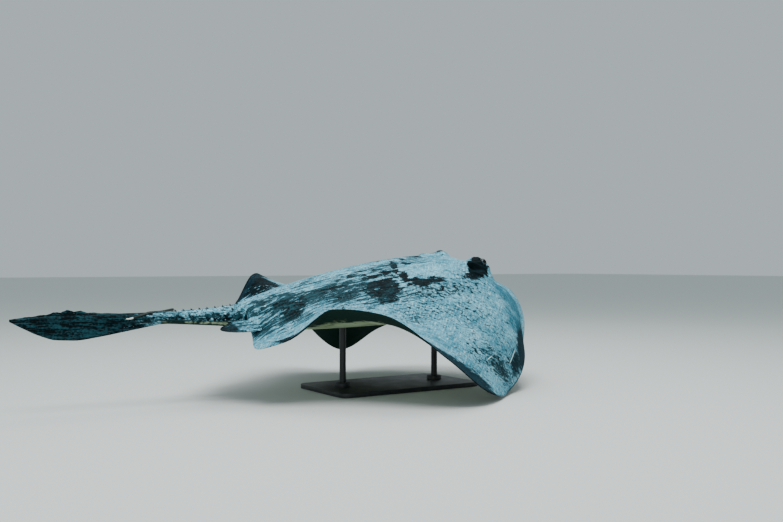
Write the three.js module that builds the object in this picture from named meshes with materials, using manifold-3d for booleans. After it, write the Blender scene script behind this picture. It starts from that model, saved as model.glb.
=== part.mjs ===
// A blotched fantail ray (Taeniurops meyeni), life size: a thick, almost round stingray that glides low,
// with both fins bent down and a wave running along them, held on a plain stand with two rods.
//
// Millimetres, +Z up, the snout towards +X. The ray is modelled in its own frame, whose origin is the middle
// of the disc, with +Y on its left; a group then rolls, pitches and lifts it. The part's origin is the middle
// of the stand base's underside.
//
// The disc is a fan of spokes. Each spoke starts on the spine, runs straight out to the margin, and bends
// up or down on its way there. A place on the disc is a turn (degrees about the disc: 0 at the snout, rising
// over the ray's left side, 180 at the tail, 360 at the snout again) and a reach (0 on the spine, 1 at the
// margin).

import * as THREE from "three";
import { mergeVertices } from "three/addons/utils/BufferGeometryUtils.js";
import Module from "manifold-3d";

const RAD = Math.PI / 180;
const GAP = 0.35; // clear space between pieces that meet

// How the ray hangs in the water
const ORIGIN_HEIGHT = 309; // the middle of the disc above the floor
const ORIGIN_AHEAD = -10; // and ahead of the stand's middle, which puts the ray's weight over the stand
const PITCH = 4.9; // degrees, snout up
const ROLL = 7; // degrees, right side down

// The disc's outline, laid flat
const SNOUT_REACH = 552;
const REAR_REACH = 618;
const HALF_WIDTH = 618;
const WIDTH_POWER = 0.97; // under 1 squares the sides a little
const SNOUT_POINT = 14; // how far the tip of the snout stands out
const SNOUT_POINT_SPREAD = 11.5; // degrees
const REAR_PINCH = 0.19; // how much the rear corners are cut back from an oval
const FRONT_SWELL = 0.005; // how much the front corners are filled out
const CORNER_POWER = 1.5; // how closely both keep to the corners
const LOBE = 61; // the rounded rear lobe on each side of the tail
const LOBE_TURN = 163.5;
const LOBE_SPREAD = 12.3; // degrees
const TAIL_NOTCH = 70; // how far the notch between the rear lobes is cut in
const NOTCH_TURNS = [160, 174];

// The spokes
const SPINE_MIDDLE = -30;
const SPINE_HALF = 320;
const FOLD_START = 0.22; // the reach at which a spoke starts to bend
const FOLD_END = 0.95;
const SPOKE_STEPS = 80;

// How far each spoke has bent by the margin: [turn from the snout, degrees, up is positive]
const BEND_LEFT = [
  [0, -18], [14, -34], [30, -46], [60, -61], [80, -79], [100, -17], [121, 14], [136, 27], [147, -5],
  [156, -24], [165, -20], [175.5, 0], [180, 0],
];
const BEND_RIGHT = [
  [0, -18], [14, -52], [30, -76], [60, -78], [88, -51], [105, -20], [125, 15], [142, 23], [155, -17],
  [165, -28], [172, -20], [175.5, 0], [180, 0],
];

// Thickness along the body: [x, height]
const CROWN = [
  [-640, 40], [-560, 45], [-400, 66], [-200, 96], [0, 116], [150, 122], [260, 112], [330, 80],
  [390, 42], [450, 25], [520, 15], [580, 9],
];
const KEEL = [
  [-640, 28], [-560, 34], [-400, 44], [-200, 52], [0, 56], [200, 56], [350, 44], [480, 28], [580, 12],
];
const FLANK = [
  [-640, 60], [-560, 66], [-400, 120], [-200, 180], [0, 215], [150, 225], [300, 200], [450, 170],
  [634, 120],
];
const CROWN_FALL = { rate: 0.75, power: 2.3, spread: 1 }; // how the body falls away to its sides, above
const KEEL_FALL = { rate: 0.8, power: 2.6, spread: 1.15 }; // and below
const FIN_SWELL = 13; // half the thickness that a fin adds at its root
const FIN_SWELL_POWER = 0.8;
const EDGE_HALF = 1.6; // half the thickness of the margin
const EDGE_POWER = 20; // how suddenly the margin closes

// The raised eyes, with a spiracle behind each
const ORBIT = { x: 320, y: 103, height: 43, length: 38, width: 38 };
const SPIRACLE_SWELL = { x: 256, y: 128, height: 20, length: 42, width: 38 };
const BUMP_POWER = 1.35; // over 1 flattens the top of a bump
const EYE_RADIUS = 15;
const EYE_SIDES = [12, 8];
const EYE_PLACE = [317, 118];
const EYE_SUNK = 7; // the eye's centre below the skin
const SPIRACLE_PLACE = [264, 146];
const SPIRACLE_HALF = [35, 26, 22]; // along, across and deep
const SPIRACLE_SIDES = 14;

// Mouth and gills
const MOUTH = { x: 330, half: [7, 56, 9], sides: 12 };
const NOSTRIL = { x: 362, y: 46, half: [15, 6, 7], turn: 55, sides: 8 };
const GILLS = { pairs: 5, firstX: 235, step: 33, firstY: 116, lastY: 76 };
const GILL_CUT = { half: [17, 3.2, 6], turn: 72, sides: 8 };

// The tail
const TAIL_LENGTH = 680;
const TAIL_LIFT = [[0, 0], [0.07, 6.4], [0.6, 5.6], [1, 3.6]]; // [part of its length, degrees up]
const TAIL_SWING = 7; // degrees, towards the ray's left by its tip
const TAIL_ROOT_TURN = 175.5; // the turn at which the margin meets the tail's side
const TAIL_SLIT_TURN = 174.3; // from here it runs forward along that side
const TAIL_ROOT_INSET = 3;
const TAIL_SIDE_GAP = 2.5; // the margin stops this far from the tail's side
const TAIL_STEPS = 40;
const TAIL_SIDES = 12;
const TAIL_RING_STEP = { base: 30, rear: 23, fold: 30 };
const TAIL_BASE_LENGTH = 262; // where the fold under the tail starts
const TAIL_HALF_WIDTH = [[0, 54], [45, 42], [119, 30], [262, 21], [400, 14], [560, 8], [680, 2]];
const TAIL_TOP = [[0, 45], [45, 38], [119, 29], [262, 19], [400, 14], [560, 9], [680, 2.2]];
const TAIL_BOTTOM = [[0, 30], [45, 26], [119, 22], [262, 16], [400, 12], [560, 8], [680, 1.6]];
const FOLD_DEPTH = [
  [262, 3], [300, 12], [360, 26], [440, 44], [505, 54], [555, 53], [600, 41], [645, 21], [680, 3],
];
const FOLD_ENDS = [266, 674];
const FOLD_OUTLINE = [[-1, 0], [-1, 0.55], [-0.45, 1], [0.45, 1], [1, 0.55], [1, 0]]; // [across, down]
const FOLD_HALF_THICK = [[262, 4], [400, 3.2], [680, 1]];
const FOLD_OVERLAP = 5; // how far the fold's root is buried before it is cut to the tail
const RIDGE = { from: 400, to: 670, height: 6, knobs: 8, lowest: 0.1 };
const THORNS = { from: 14, to: 215, count: 9, radius: 4.6, height: 7, sunk: 1.5, sides: 6 };

// The sting: its tip lies this many degrees above the middle of the tail's right side
const STING = { from: 222, length: 146, tipSide: 4, lift: 0.4 };
const STING_WIDTH = { half: 5, narrowing: 0.85, power: 3, hollow: 60 };
const STING_THICK = { root: 8, tip: 2.4, thins: [0, 0.3], turns: [0.3, 1] };
const STING_TEETH = { count: 9, depth: 1.6, tip: 0.25 }; // their points look back to its root
const STING_OUTLINE = [[1, 0], [0.5, 1], [-0.5, 1], [-1, 0], [-0.5, -1], [0.5, -1]];

// The pelvic fins, one on each side of the tail's root
const PELVIC = { x: -570, y: 82, z: -12, splay: 9, droop: 14 };
const PELVIC_HALF = { length: 92, width: 44, thick: 7.5, edge: 0.8 };
const PELVIC_TAPER = 0.22; // how much narrower it is at the front than at the back
const PELVIC_ROUND = 2.2; // how full its section is
const PELVIC_RAYS = 12;
const PELVIC_RINGS = [0, 0.5, 0.82, 1];

// The stand
const BASE = { length: 560, width: 320, thick: 15, corner: 36, bevel: 2 };
const ROD_RADIUS = 11;
const ROD_PLACES = { front: 190, rear: -190 };
const COLLAR = { radius: 26, height: 14, chamfer: 3 };
const ROUND = 16; // sides of a round piece of the stand

// Where the disc is parted
const HEAD_TURN = 62; // head and trunk meet on this turn
const SNOUT_TURN = 28; // snout and fins
const TAIL_TURN = 168; // fins and the root of the tail
const FIN_SPLITS = [72, 108]; // front, middle and rear of each fin
const CORE_REACH = 0.42; // head or trunk inside it, snout and fins outside it
const TURN_GAP = 0.05; // half the cut between pieces, in degrees
const REACH_GAP = 0.0005; // and as a reach

// How finely the disc is divided
const HEAD_STEP = 4.8; // degrees between spokes over the head
const FIN_STEP = 6.6;
const CORE_STEP = 0.06; // of a spoke
const BISECTIONS = 40;
const PROBE = 4; // how far apart the skin is felt for its slope

// ---------------------------------------------------------------- curves

const clamp = (x, low, high) => Math.min(high, Math.max(low, x));
const mix = (a, b, t) => a + (b - a) * t;

function smooth(from, to, x) {
  const t = clamp((x - from) / (to - from), 0, 1);
  return t * t * (3 - 2 * t);
}

// A smooth curve through [at, value] pairs, which never swings past them (a monotone cubic).
function through(keys) {
  const step = keys.slice(1).map(([at], i) => at - keys[i][0]);
  const rise = keys.slice(1).map(([, value], i) => (value - keys[i][1]) / step[i]);
  const slope = keys.map((_, i) => {
    if (i === 0) return rise[0];
    if (i === rise.length) return rise[i - 1];
    if (rise[i - 1] * rise[i] <= 0) return 0;
    const before = 2 * step[i] + step[i - 1];
    const after = step[i] + 2 * step[i - 1];
    return (before + after) / (before / rise[i - 1] + after / rise[i]);
  });
  return (x) => {
    const at = clamp(x, keys[0][0], keys[keys.length - 1][0]);
    const i = clamp(keys.findIndex(([k]) => k >= at) - 1, 0, step.length - 1);
    const t = (at - keys[i][0]) / step[i];
    const hump = t * t * (3 - 2 * t);
    const slopes = slope[i] * t * (1 - t) ** 2 - slope[i + 1] * t * t * (1 - t);
    return mix(keys[i][1], keys[i + 1][1], hump) + step[i] * slopes;
  };
}

const bendLeft = through(BEND_LEFT);
const bendRight = through(BEND_RIGHT);
const crown = through(CROWN);
const keel = through(KEEL);
const flank = through(FLANK);
const tailHalfWidth = through(TAIL_HALF_WIDTH);
const tailTop = through(TAIL_TOP);
const tailBottom = through(TAIL_BOTTOM);
const tailLift = through(TAIL_LIFT);
const foldDepth = through(FOLD_DEPTH);
const foldHalfThick = through(FOLD_HALF_THICK);

// ---------------------------------------------------------------- the disc

const TAIL_ROOT_X = TAIL_NOTCH - REAR_REACH - TAIL_ROOT_INSET;
const TAIL_ROOT_HALF = TAIL_HALF_WIDTH[0][1];
const TAIL_SIDE_Y = TAIL_ROOT_HALF + TAIL_SIDE_GAP;

// The flat outline at an angle from the snout, 0 to 180 degrees, on the left side.
function margin(turn) {
  if (turn > TAIL_ROOT_TURN) {
    const part = (180 - turn) / (180 - TAIL_ROOT_TURN);
    return { x: TAIL_ROOT_X, y: TAIL_SIDE_Y * part };
  }
  const front = turn < 90;
  const corner = Math.abs(Math.sin(2 * turn * RAD)) ** CORNER_POWER;
  const size = 1 + corner * (front ? FRONT_SWELL : -REAR_PINCH);
  const lobe = LOBE * Math.exp(-(((turn - LOBE_TURN) / LOBE_SPREAD) ** 2));
  const free =
    (front ? SNOUT_REACH : REAR_REACH) * Math.cos(turn * RAD) * size +
    SNOUT_POINT * Math.exp(-((turn / SNOUT_POINT_SPREAD) ** 2)) +
    TAIL_NOTCH * smooth(...NOTCH_TURNS, turn) +
    lobe * Math.cos(LOBE_TURN * RAD);
  const y =
    HALF_WIDTH * Math.sin(turn * RAD) ** WIDTH_POWER * size +
    lobe * Math.sin(LOBE_TURN * RAD);
  const x = mix(free, TAIL_ROOT_X, smooth(TAIL_SLIT_TURN, TAIL_ROOT_TURN, turn));
  return { x, y: front ? y : Math.max(y, TAIL_SIDE_Y) };
}

const spokes = new Map();

// The spoke at a turn: where it starts, which way it runs, and its middle line as it bends.
function spoke(turn) {
  if (spokes.has(turn)) return spokes.get(turn);
  const wrapped = THREE.MathUtils.euclideanModulo(turn, 360);
  const side = wrapped <= 180 ? 1 : -1;
  const angle = side > 0 ? wrapped : 360 - wrapped;
  const end = margin(angle);
  const startX = SPINE_MIDDLE + SPINE_HALF * Math.cos(angle * RAD);
  const length = Math.hypot(end.x - startX, end.y);
  const bend = (side > 0 ? bendLeft : bendRight)(angle) * RAD;
  const out = [0];
  const up = [0];
  for (let k = 0; k < SPOKE_STEPS; k++) {
    const tilt = bend * smooth(FOLD_START, FOLD_END, (k + 0.5) / SPOKE_STEPS);
    out.push(out[k] + (Math.cos(tilt) * length) / SPOKE_STEPS);
    up.push(up[k] + (Math.sin(tilt) * length) / SPOKE_STEPS);
  }
  const made = {
    side, angle, startX, length, bend, out, up,
    dirX: (end.x - startX) / length,
    dirY: end.y / length,
  };
  spokes.set(turn, made);
  return made;
}

const bump = ({ x, y, height, length, width }, atX, atY) =>
  height * Math.exp(-((((atX - x) / length) ** 2 + ((atY - y) / width) ** 2) ** BUMP_POWER));

const fall = ({ rate, power, spread }, x, y) => Math.exp(-rate * (y / (spread * flank(x))) ** power);

// Half the disc's thickness, above (face 1) or below (face -1) its middle surface.
function halfThickness(s, reach, face) {
  const x = s.startX + s.dirX * s.length * reach;
  const y = s.dirY * s.length * reach;
  const body =
    face > 0
      ? crown(x) * fall(CROWN_FALL, x, y) + bump(ORBIT, x, y) + bump(SPIRACLE_SWELL, x, y)
      : keel(x) * fall(KEEL_FALL, x, y);
  const closing = Math.sqrt(1 - reach ** EDGE_POWER);
  const half = (body + FIN_SWELL * (1 - reach) ** FIN_SWELL_POWER) * closing + EDGE_HALF;
  if (s.angle <= TAIL_ROOT_TURN) return half;
  // at the tail the disc doesn't close: it ends in the tail's own oval
  const across = Math.min(1, (TAIL_SIDE_Y * (180 - s.angle)) / (180 - TAIL_ROOT_TURN) / TAIL_ROOT_HALF);
  const oval = (face > 0 ? tailTop(0) : tailBottom(0)) * Math.sqrt(1 - across * across);
  return half + Math.max(0, oval - EDGE_HALF) * (1 - closing);
}

// The point of the skin at a turn and reach, above (face 1) or below (face -1).
function skin(turn, reach, face) {
  const s = spoke(turn);
  const at = reach * SPOKE_STEPS;
  const k = Math.min(Math.floor(at), SPOKE_STEPS - 1);
  const tilt = s.bend * smooth(FOLD_START, FOLD_END, reach);
  const offset = face * halfThickness(s, reach, face);
  const out = mix(s.out[k], s.out[k + 1], at - k) - Math.sin(tilt) * offset;
  const up = mix(s.up[k], s.up[k + 1], at - k) + Math.cos(tilt) * offset;
  return new THREE.Vector3(s.startX + s.dirX * out, s.side * s.dirY * out, up);
}

// The turn and reach of the place that lies at x, y on the flat disc; y is positive on the left.
function place(x, y) {
  let low = 0;
  let high = 180;
  for (let k = 0; k < BISECTIONS; k++) {
    const middle = (low + high) / 2;
    const s = spoke(middle);
    if ((x - s.startX) * s.dirY < Math.abs(y) * s.dirX) low = middle;
    else high = middle;
  }
  const s = spoke(low);
  const reach = Math.hypot(x - s.startX, y) / s.length;
  return [y < 0 ? 360 - low : low, reach];
}

// The skin over x, y on the flat disc, and its outward direction there.
function skinOver(x, y, face) {
  const at = (dx, dy) => skin(...place(x + dx, y + dy), face);
  const along = at(PROBE, 0).sub(at(-PROBE, 0));
  const across = at(0, PROBE).sub(at(0, -PROBE));
  const normal = along.cross(across).multiplyScalar(face).normalize();
  return { point: at(0, 0), normal };
}

// ---------------------------------------------------------------- solids from surfaces

// A closed mesh from triangles: equal corners are merged and triangles without an area are dropped.
function closedMesh(corners) {
  const loose = new THREE.BufferGeometry();
  const values = corners.flatMap((p) => [p.x, p.y, p.z]);
  loose.setAttribute("position", new THREE.Float32BufferAttribute(values, 3));
  const merged = mergeVertices(loose, 1e-3);
  const kept = [];
  for (let i = 0; i < merged.index.count; i += 3) {
    const [a, b, c] = [0, 1, 2].map((k) => merged.index.getX(i + k));
    if (a !== b && b !== c && c !== a) kept.push(a, b, c);
  }
  merged.setIndex(kept);
  return merged;
}

// Two triangles between four corners, always parted along the line from a to c.
function quad(list, a, b, c, d, turned = false) {
  if (turned) list.push(a, c, b, a, d, c);
  else list.push(a, b, c, a, c, d);
}

// A piece of the disc between the given turns and reaches, both faces and its cut walls. Where it starts on
// the spine its two sides meet there, so it has no inner wall.
function discPiece(turns, reaches) {
  const top = turns.map((turn) => reaches.map((reach) => skin(turn, reach, 1)));
  const under = turns.map((turn) => reaches.map((reach) => skin(turn, reach, -1)));
  const lastTurn = turns.length - 1;
  const lastReach = reaches.length - 1;
  const list = [];
  const wall = (i, j, nextI, nextJ, turned) =>
    quad(list, top[i][j], under[i][j], under[nextI][nextJ], top[nextI][nextJ], turned);
  for (let i = 0; i < lastTurn; i++) {
    for (let j = 0; j < lastReach; j++) {
      quad(list, top[i][j], top[i][j + 1], top[i + 1][j + 1], top[i + 1][j]);
      quad(list, under[i][j], under[i][j + 1], under[i + 1][j + 1], under[i + 1][j], true);
    }
    wall(i, lastReach, i + 1, lastReach, false);
    if (reaches[0] > 0) wall(i, 0, i + 1, 0, true);
  }
  for (let j = 0; j < lastReach; j++) {
    wall(0, j, 0, j + 1, false);
    wall(lastTurn, j, lastTurn, j + 1, true);
  }
  return closedMesh(list);
}

// A closed skin over rings of points that all have the same number, with flat ends.
function lofted(rings) {
  const list = [];
  const count = rings[0].length;
  rings.slice(1).forEach((ring, i) => {
    for (let k = 0; k < count; k++) {
      const next = (k + 1) % count;
      quad(list, rings[i][k], ring[k], ring[next], rings[i][next]);
    }
  });
  const cap = (ring, turned) => {
    const middle = ring.reduce((sum, p) => sum.add(p), new THREE.Vector3()).divideScalar(count);
    ring.forEach((p, k) => {
      const next = ring[(k + 1) % count];
      list.push(middle, ...(turned ? [next, p] : [p, next]));
    });
  };
  cap(rings[0], false);
  cap(rings[rings.length - 1], true);
  return closedMesh(list);
}

const wasm = await Module();
wasm.setup();

function solid(geometry) {
  const bare = geometry.clone().deleteAttribute("normal").deleteAttribute("uv");
  const merged = mergeVertices(bare, 1e-4);
  return new wasm.Manifold(
    new wasm.Mesh({
      numProp: 3,
      vertProperties: merged.attributes.position.array,
      triVerts: new Uint32Array(merged.index.array),
    }),
  );
}

function geometryOf(made) {
  const mesh = made.getMesh();
  const geometry = new THREE.BufferGeometry();
  geometry.setAttribute("position", new THREE.BufferAttribute(new Float32Array(mesh.vertProperties), 3));
  geometry.setIndex(new THREE.BufferAttribute(new Uint32Array(mesh.triVerts), 1));
  return geometry;
}

const largest = (made) => made.decompose().reduce((a, b) => (a.volume() > b.volume() ? a : b));

const ROWS_PER_SIDE = 0.6;

// An oval ball with the given half sizes, its third one along the direction that it faces.
function ovalBall(half, { point, normal }, turn, sides) {
  const facing = new THREE.Quaternion().setFromUnitVectors(new THREE.Vector3(0, 0, 1), normal);
  return new THREE.SphereGeometry(1, sides, Math.round(sides * ROWS_PER_SIDE))
    .rotateX(90 * RAD)
    .scale(...half)
    .rotateZ(turn * RAD)
    .applyQuaternion(facing)
    .translate(point.x, point.y, point.z);
}

// Numbers from low to high in steps of about the given size, both ends included.
function steps(low, high, size) {
  const count = Math.max(1, Math.round((high - low) / size));
  return Array.from({ length: count + 1 }, (_, k) => mix(low, high, k / count));
}

// ---------------------------------------------------------------- disc, head and trunk

const mirrored = (turns) => turns.map((turn) => 360 - turn).reverse();
const snoutTurns = steps(0, SNOUT_TURN, HEAD_STEP);
const cheekTurns = steps(SNOUT_TURN, HEAD_TURN, HEAD_STEP);
const finTurns = steps(HEAD_TURN, TAIL_TURN, FIN_STEP);
const rootTurns = [TAIL_TURN, 171.5, TAIL_SLIT_TURN, TAIL_ROOT_TURN, 175.7, 176.4, 178, 180];
const coreReaches = steps(0, CORE_REACH - REACH_GAP, CORE_STEP);
const outerReaches = [CORE_REACH + REACH_GAP, 0.51, 0.6, 0.69, 0.78, 0.86, 0.92, 0.965, 1];

// A list of turns with its ends drawn in by half a cut.
const cut = (turns) =>
  turns.map((turn, i) => turn + (i === 0 ? TURN_GAP : i === turns.length - 1 ? -TURN_GAP : 0));

const union = (...lists) => [...new Set(lists.flat())];
const aroundSnout = (turns) => [...mirrored(turns).map((turn) => turn - 360), ...turns.slice(1)];
const aroundTail = (turns) => [...turns, ...mirrored(turns).slice(1)];

const headTurns = cut(aroundSnout(union(snoutTurns, cheekTurns)));
const trunkTurns = cut(aroundTail(union(finTurns, rootTurns)));
const [first, second] = FIN_SPLITS.map((split) => finTurns.findIndex((turn) => turn >= split));
const pectoralTurns = {
  front: union(cheekTurns, finTurns.slice(0, first + 1)),
  middle: finTurns.slice(first, second + 1),
  rear: finTurns.slice(second),
};

function gillCuts() {
  const cuts = [];
  for (let pair = 0; pair < GILLS.pairs; pair++) {
    const x = GILLS.firstX - pair * GILLS.step;
    const y = mix(GILLS.firstY, GILLS.lastY, pair / (GILLS.pairs - 1));
    for (const side of [1, -1]) {
      cuts.push(ovalBall(GILL_CUT.half, skinOver(x, side * y, -1), side * GILL_CUT.turn, GILL_CUT.sides));
    }
  }
  return cuts;
}

function nostrilCuts() {
  const { x, y, half, turn, sides } = NOSTRIL;
  return [1, -1].map((side) => ovalBall(half, skinOver(x, side * y, -1), side * turn, sides));
}

const mouthCut = () => ovalBall(MOUTH.half, skinOver(MOUTH.x, 0, -1), 0, MOUTH.sides);

const eyeSeat = (side) => {
  const [x, y] = EYE_PLACE;
  const { point, normal } = skinOver(x, side * y, 1);
  return point.addScaledVector(normal, -EYE_SUNK);
};

const spiracleCut = (side) => {
  const [x, y] = SPIRACLE_PLACE;
  return ovalBall(SPIRACLE_HALF, skinOver(x, side * y, 1), 0, SPIRACLE_SIDES);
};

const eyeBall = (side, radius) => {
  const seat = eyeSeat(side);
  return new THREE.SphereGeometry(radius, ...EYE_SIDES).rotateX(90 * RAD).translate(seat.x, seat.y, seat.z);
};

function headSolid() {
  const cuts = [
    ...gillCuts(),
    ...nostrilCuts(),
    mouthCut(),
    ...[1, -1].flatMap((side) => [spiracleCut(side), eyeBall(side, EYE_RADIUS + GAP)]),
  ];
  const whole = solid(discPiece(headTurns, coreReaches));
  return cuts.reduce((made, hole) => made.subtract(solid(hole)), whole);
}

// ---------------------------------------------------------------- the tail

// The tail's middle line: where it is and which way it runs, at a distance from its root.
const tailLine = [];
{
  const point = new THREE.Vector3(TAIL_ROOT_X, 0, 0);
  const step = TAIL_LENGTH / TAIL_STEPS;
  for (let k = 0; k <= TAIL_STEPS; k++) {
    const part = k / TAIL_STEPS;
    const lift = tailLift(part) * RAD;
    const swing = TAIL_SWING * part * RAD;
    const level = Math.cos(lift);
    const back = new THREE.Vector3(-level * Math.cos(swing), level * Math.sin(swing), Math.sin(lift));
    tailLine.push({ point: point.clone(), back });
    point.addScaledVector(back, step);
  }
}

function tailAt(distance) {
  const at = clamp(distance / TAIL_LENGTH, 0, 1) * TAIL_STEPS;
  const k = Math.min(Math.floor(at), TAIL_STEPS - 1);
  const point = tailLine[k].point.clone().lerp(tailLine[k + 1].point, at - k);
  const back = tailLine[k].back.clone().lerp(tailLine[k + 1].back, at - k).normalize();
  const left = new THREE.Vector3(0, 0, 1).cross(back).negate().normalize();
  const up = back.clone().cross(left).negate();
  return { point, back, left, up };
}

const tailPoint = (distance, across, high) => {
  const { point, left, up } = tailAt(distance);
  return point.addScaledVector(left, across).addScaledVector(up, high);
};

// A low ragged ridge along the top of the tail's rear length.
function ridgeHeight(distance) {
  const { from, to, height, knobs, lowest } = RIDGE;
  const part = clamp((distance - from) / (to - from), 0, 1);
  const knob = (1 + Math.cos(part * knobs * 2 * Math.PI)) / 2;
  return height * Math.sqrt(Math.sin(Math.PI * part)) * mix(lowest, 1, knob);
}

function tailRing(distance) {
  return Array.from({ length: TAIL_SIDES }, (_, k) => {
    const angle = (k / TAIL_SIDES) * 2 * Math.PI + 90 * RAD;
    const top = tailTop(distance) + (k === 0 ? ridgeHeight(distance) : 0);
    const high = Math.sin(angle) * (Math.sin(angle) > 0 ? top : tailBottom(distance));
    return tailPoint(distance, Math.cos(angle) * tailHalfWidth(distance), high);
  });
}

const tailLength = (from, to, size) => lofted(steps(from, to, size).map(tailRing));

function thorn(distance) {
  const { radius, height, sunk, sides } = THORNS;
  const foot = tailPoint(distance, 0, tailTop(distance) + height / 2 - sunk);
  return new THREE.ConeGeometry(radius, height, sides).rotateX(90 * RAD).translate(foot.x, foot.y, foot.z);
}

function tailBase() {
  const { from, to, count } = THORNS;
  const thorns = steps(from, to, (to - from) / (count - 1)).map(thorn);
  const length = tailLength(GAP, TAIL_BASE_LENGTH - GAP / 2, TAIL_RING_STEP.base);
  return thorns.reduce((made, spike) => made.add(solid(spike)), solid(length));
}

// The deep fold of skin under the tail's rear length.
function tailFold() {
  const rings = steps(...FOLD_ENDS, TAIL_RING_STEP.fold).map((distance) => {
    const root = -tailBottom(distance) + FOLD_OVERLAP;
    const tip = -tailBottom(distance) - foldDepth(distance);
    const thick = foldHalfThick(distance);
    return FOLD_OUTLINE.map(([across, down]) => tailPoint(distance, across * thick, mix(root, tip, down)));
  });
  return lofted(rings);
}

// A section of the sting, at a part of its length. It springs from the top of the tail, and its tip lies over
// the right side.
function stingRing(part, tooth) {
  const distance = STING.from + STING.length * part;
  const angle = mix(90, STING.tipSide, smooth(...STING_THICK.turns, part)) * RAD;
  const half = mix(STING_THICK.root, STING_THICK.tip, smooth(...STING_THICK.thins, part)) / 2;
  const width = STING_WIDTH.half * (1 - STING_WIDTH.narrowing * part ** STING_WIDTH.power) + tooth;
  const outward = new THREE.Vector2(Math.cos(angle), Math.sin(angle));
  const along = new THREE.Vector2(-outward.y, outward.x);
  const lift = GAP + half + STING.lift + width ** 2 / STING_WIDTH.hollow;
  const middle = new THREE.Vector2(outward.x * tailHalfWidth(distance), outward.y * tailTop(distance));
  middle.addScaledVector(outward, lift);
  return STING_OUTLINE.map(([w, t]) => {
    const at = middle.clone().addScaledVector(along, w * width).addScaledVector(outward, t * half);
    return tailPoint(distance, -at.x, at.y);
  });
}

// The sting: a flat blade with a row of teeth down each edge.
function sting() {
  const { count, depth, tip } = STING_TEETH;
  const rings = [];
  for (let k = 0; k < count; k++) {
    rings.push(stingRing(k / count, 0), stingRing((k + tip) / count, depth * (1 - k / count)));
  }
  rings.push(stingRing(1, 0));
  return lofted(rings);
}

// ---------------------------------------------------------------- pelvic fins

function pelvicFin(side) {
  const { x, y, z, splay, droop } = PELVIC;
  const at = (k, r, face) => {
    const angle = (k / PELVIC_RAYS) * 2 * Math.PI;
    const along = Math.cos(angle) * r * PELVIC_HALF.length;
    const across = Math.sin(angle) * r * PELVIC_HALF.width * (1 - PELVIC_TAPER * Math.cos(angle));
    const high = face * (PELVIC_HALF.edge + PELVIC_HALF.thick * (1 - r ** PELVIC_ROUND));
    return new THREE.Vector3(along, across, high);
  };
  const list = [];
  for (let k = 0; k < PELVIC_RAYS; k++) {
    PELVIC_RINGS.slice(1).forEach((r, i) => {
      const inner = PELVIC_RINGS[i];
      for (const face of [1, -1]) {
        quad(list, at(k, inner, face), at(k, r, face), at(k + 1, r, face), at(k + 1, inner, face), face < 0);
      }
    });
    quad(list, at(k, 1, 1), at(k, 1, -1), at(k + 1, 1, -1), at(k + 1, 1, 1));
  }
  return closedMesh(list)
    .rotateX(side * droop * RAD)
    .rotateZ((180 - side * splay) * RAD)
    .translate(x, side * y, z);
}

// ---------------------------------------------------------------- assembly

const skinTop = { color: 0x5d6a72, roughness: 0.55, metalness: 0 };
const FINISH = {
  skin: new THREE.MeshStandardMaterial(skinTop),
  tail: new THREE.MeshStandardMaterial({ ...skinTop, color: 0x23282b }),
  eye: new THREE.MeshStandardMaterial({ color: 0x14120f, roughness: 0.08 }),
  sting: new THREE.MeshStandardMaterial({ color: 0xb9b3a0, roughness: 0.5 }),
  stand: new THREE.MeshStandardMaterial({ color: 0x2a2c2e, roughness: 0.5, metalness: 0.6 }),
};

function named(name, geometry, material) {
  geometry.computeVertexNormals();
  const mesh = new THREE.Mesh(geometry, material);
  mesh.name = name;
  return mesh;
}

const ray = new THREE.Group();
ray.rotation.set(ROLL * RAD, -PITCH * RAD, 0, "YXZ");
ray.position.set(ORIGIN_AHEAD, 0, ORIGIN_HEIGHT);
ray.updateMatrix();

const parts = {
  head: headSolid(),
  trunk: solid(discPiece(trunkTurns, coreReaches)),
  snout: solid(discPiece(cut(aroundSnout(snoutTurns)), outerReaches)),
  tail_root: solid(discPiece(cut(aroundTail(rootTurns)), outerReaches)),
};
for (const [third, turns] of Object.entries(pectoralTurns)) {
  parts["pectoral_fin_left_" + third] = solid(discPiece(cut(turns), outerReaches));
  parts["pectoral_fin_right_" + third] = solid(discPiece(cut(mirrored(turns)), outerReaches));
}
for (const [name, made] of Object.entries(parts)) {
  ray.add(named(name, geometryOf(made), FINISH.skin));
}

const base = tailBase();
const rear = solid(tailLength(TAIL_BASE_LENGTH + GAP / 2, TAIL_LENGTH, TAIL_RING_STEP.rear));
ray.add(named("tail_base", geometryOf(base), FINISH.skin));
ray.add(named("tail_rear", geometryOf(rear), FINISH.tail));

// What a piece is cut by, grown by the gap: copies of its neighbour moved a gap each way.
function clearOf(made, neighbours, ways) {
  return neighbours.reduce(
    (left, neighbour) => ways.reduce((rest, way) => rest.subtract(neighbour.translate(way)), left),
    made,
  );
}

const fold = clearOf(solid(tailFold()), [rear], [[0, 0, -GAP], [0, GAP, 0], [0, -GAP, 0]]);
ray.add(named("tail_fold", geometryOf(largest(fold)), FINISH.tail));
ray.add(named("sting", sting(), FINISH.sting));

for (const [label, side] of [["left", 1], ["right", -1]]) {
  ray.add(named("eye_" + label, eyeBall(side, EYE_RADIUS), FINISH.eye));
  const around = [parts.trunk, parts.tail_root, parts["pectoral_fin_" + label + "_rear"], base];
  const ways = [[-GAP, 0, 0], [0, side * GAP, 0], [0, 0, GAP], [0, 0, -GAP]];
  const fin = largest(clearOf(solid(pelvicFin(side)), around, ways));
  ray.add(named("pelvic_fin_" + label, geometryOf(fin), FINISH.skin));
}

// ---------------------------------------------------------------- the stand

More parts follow.
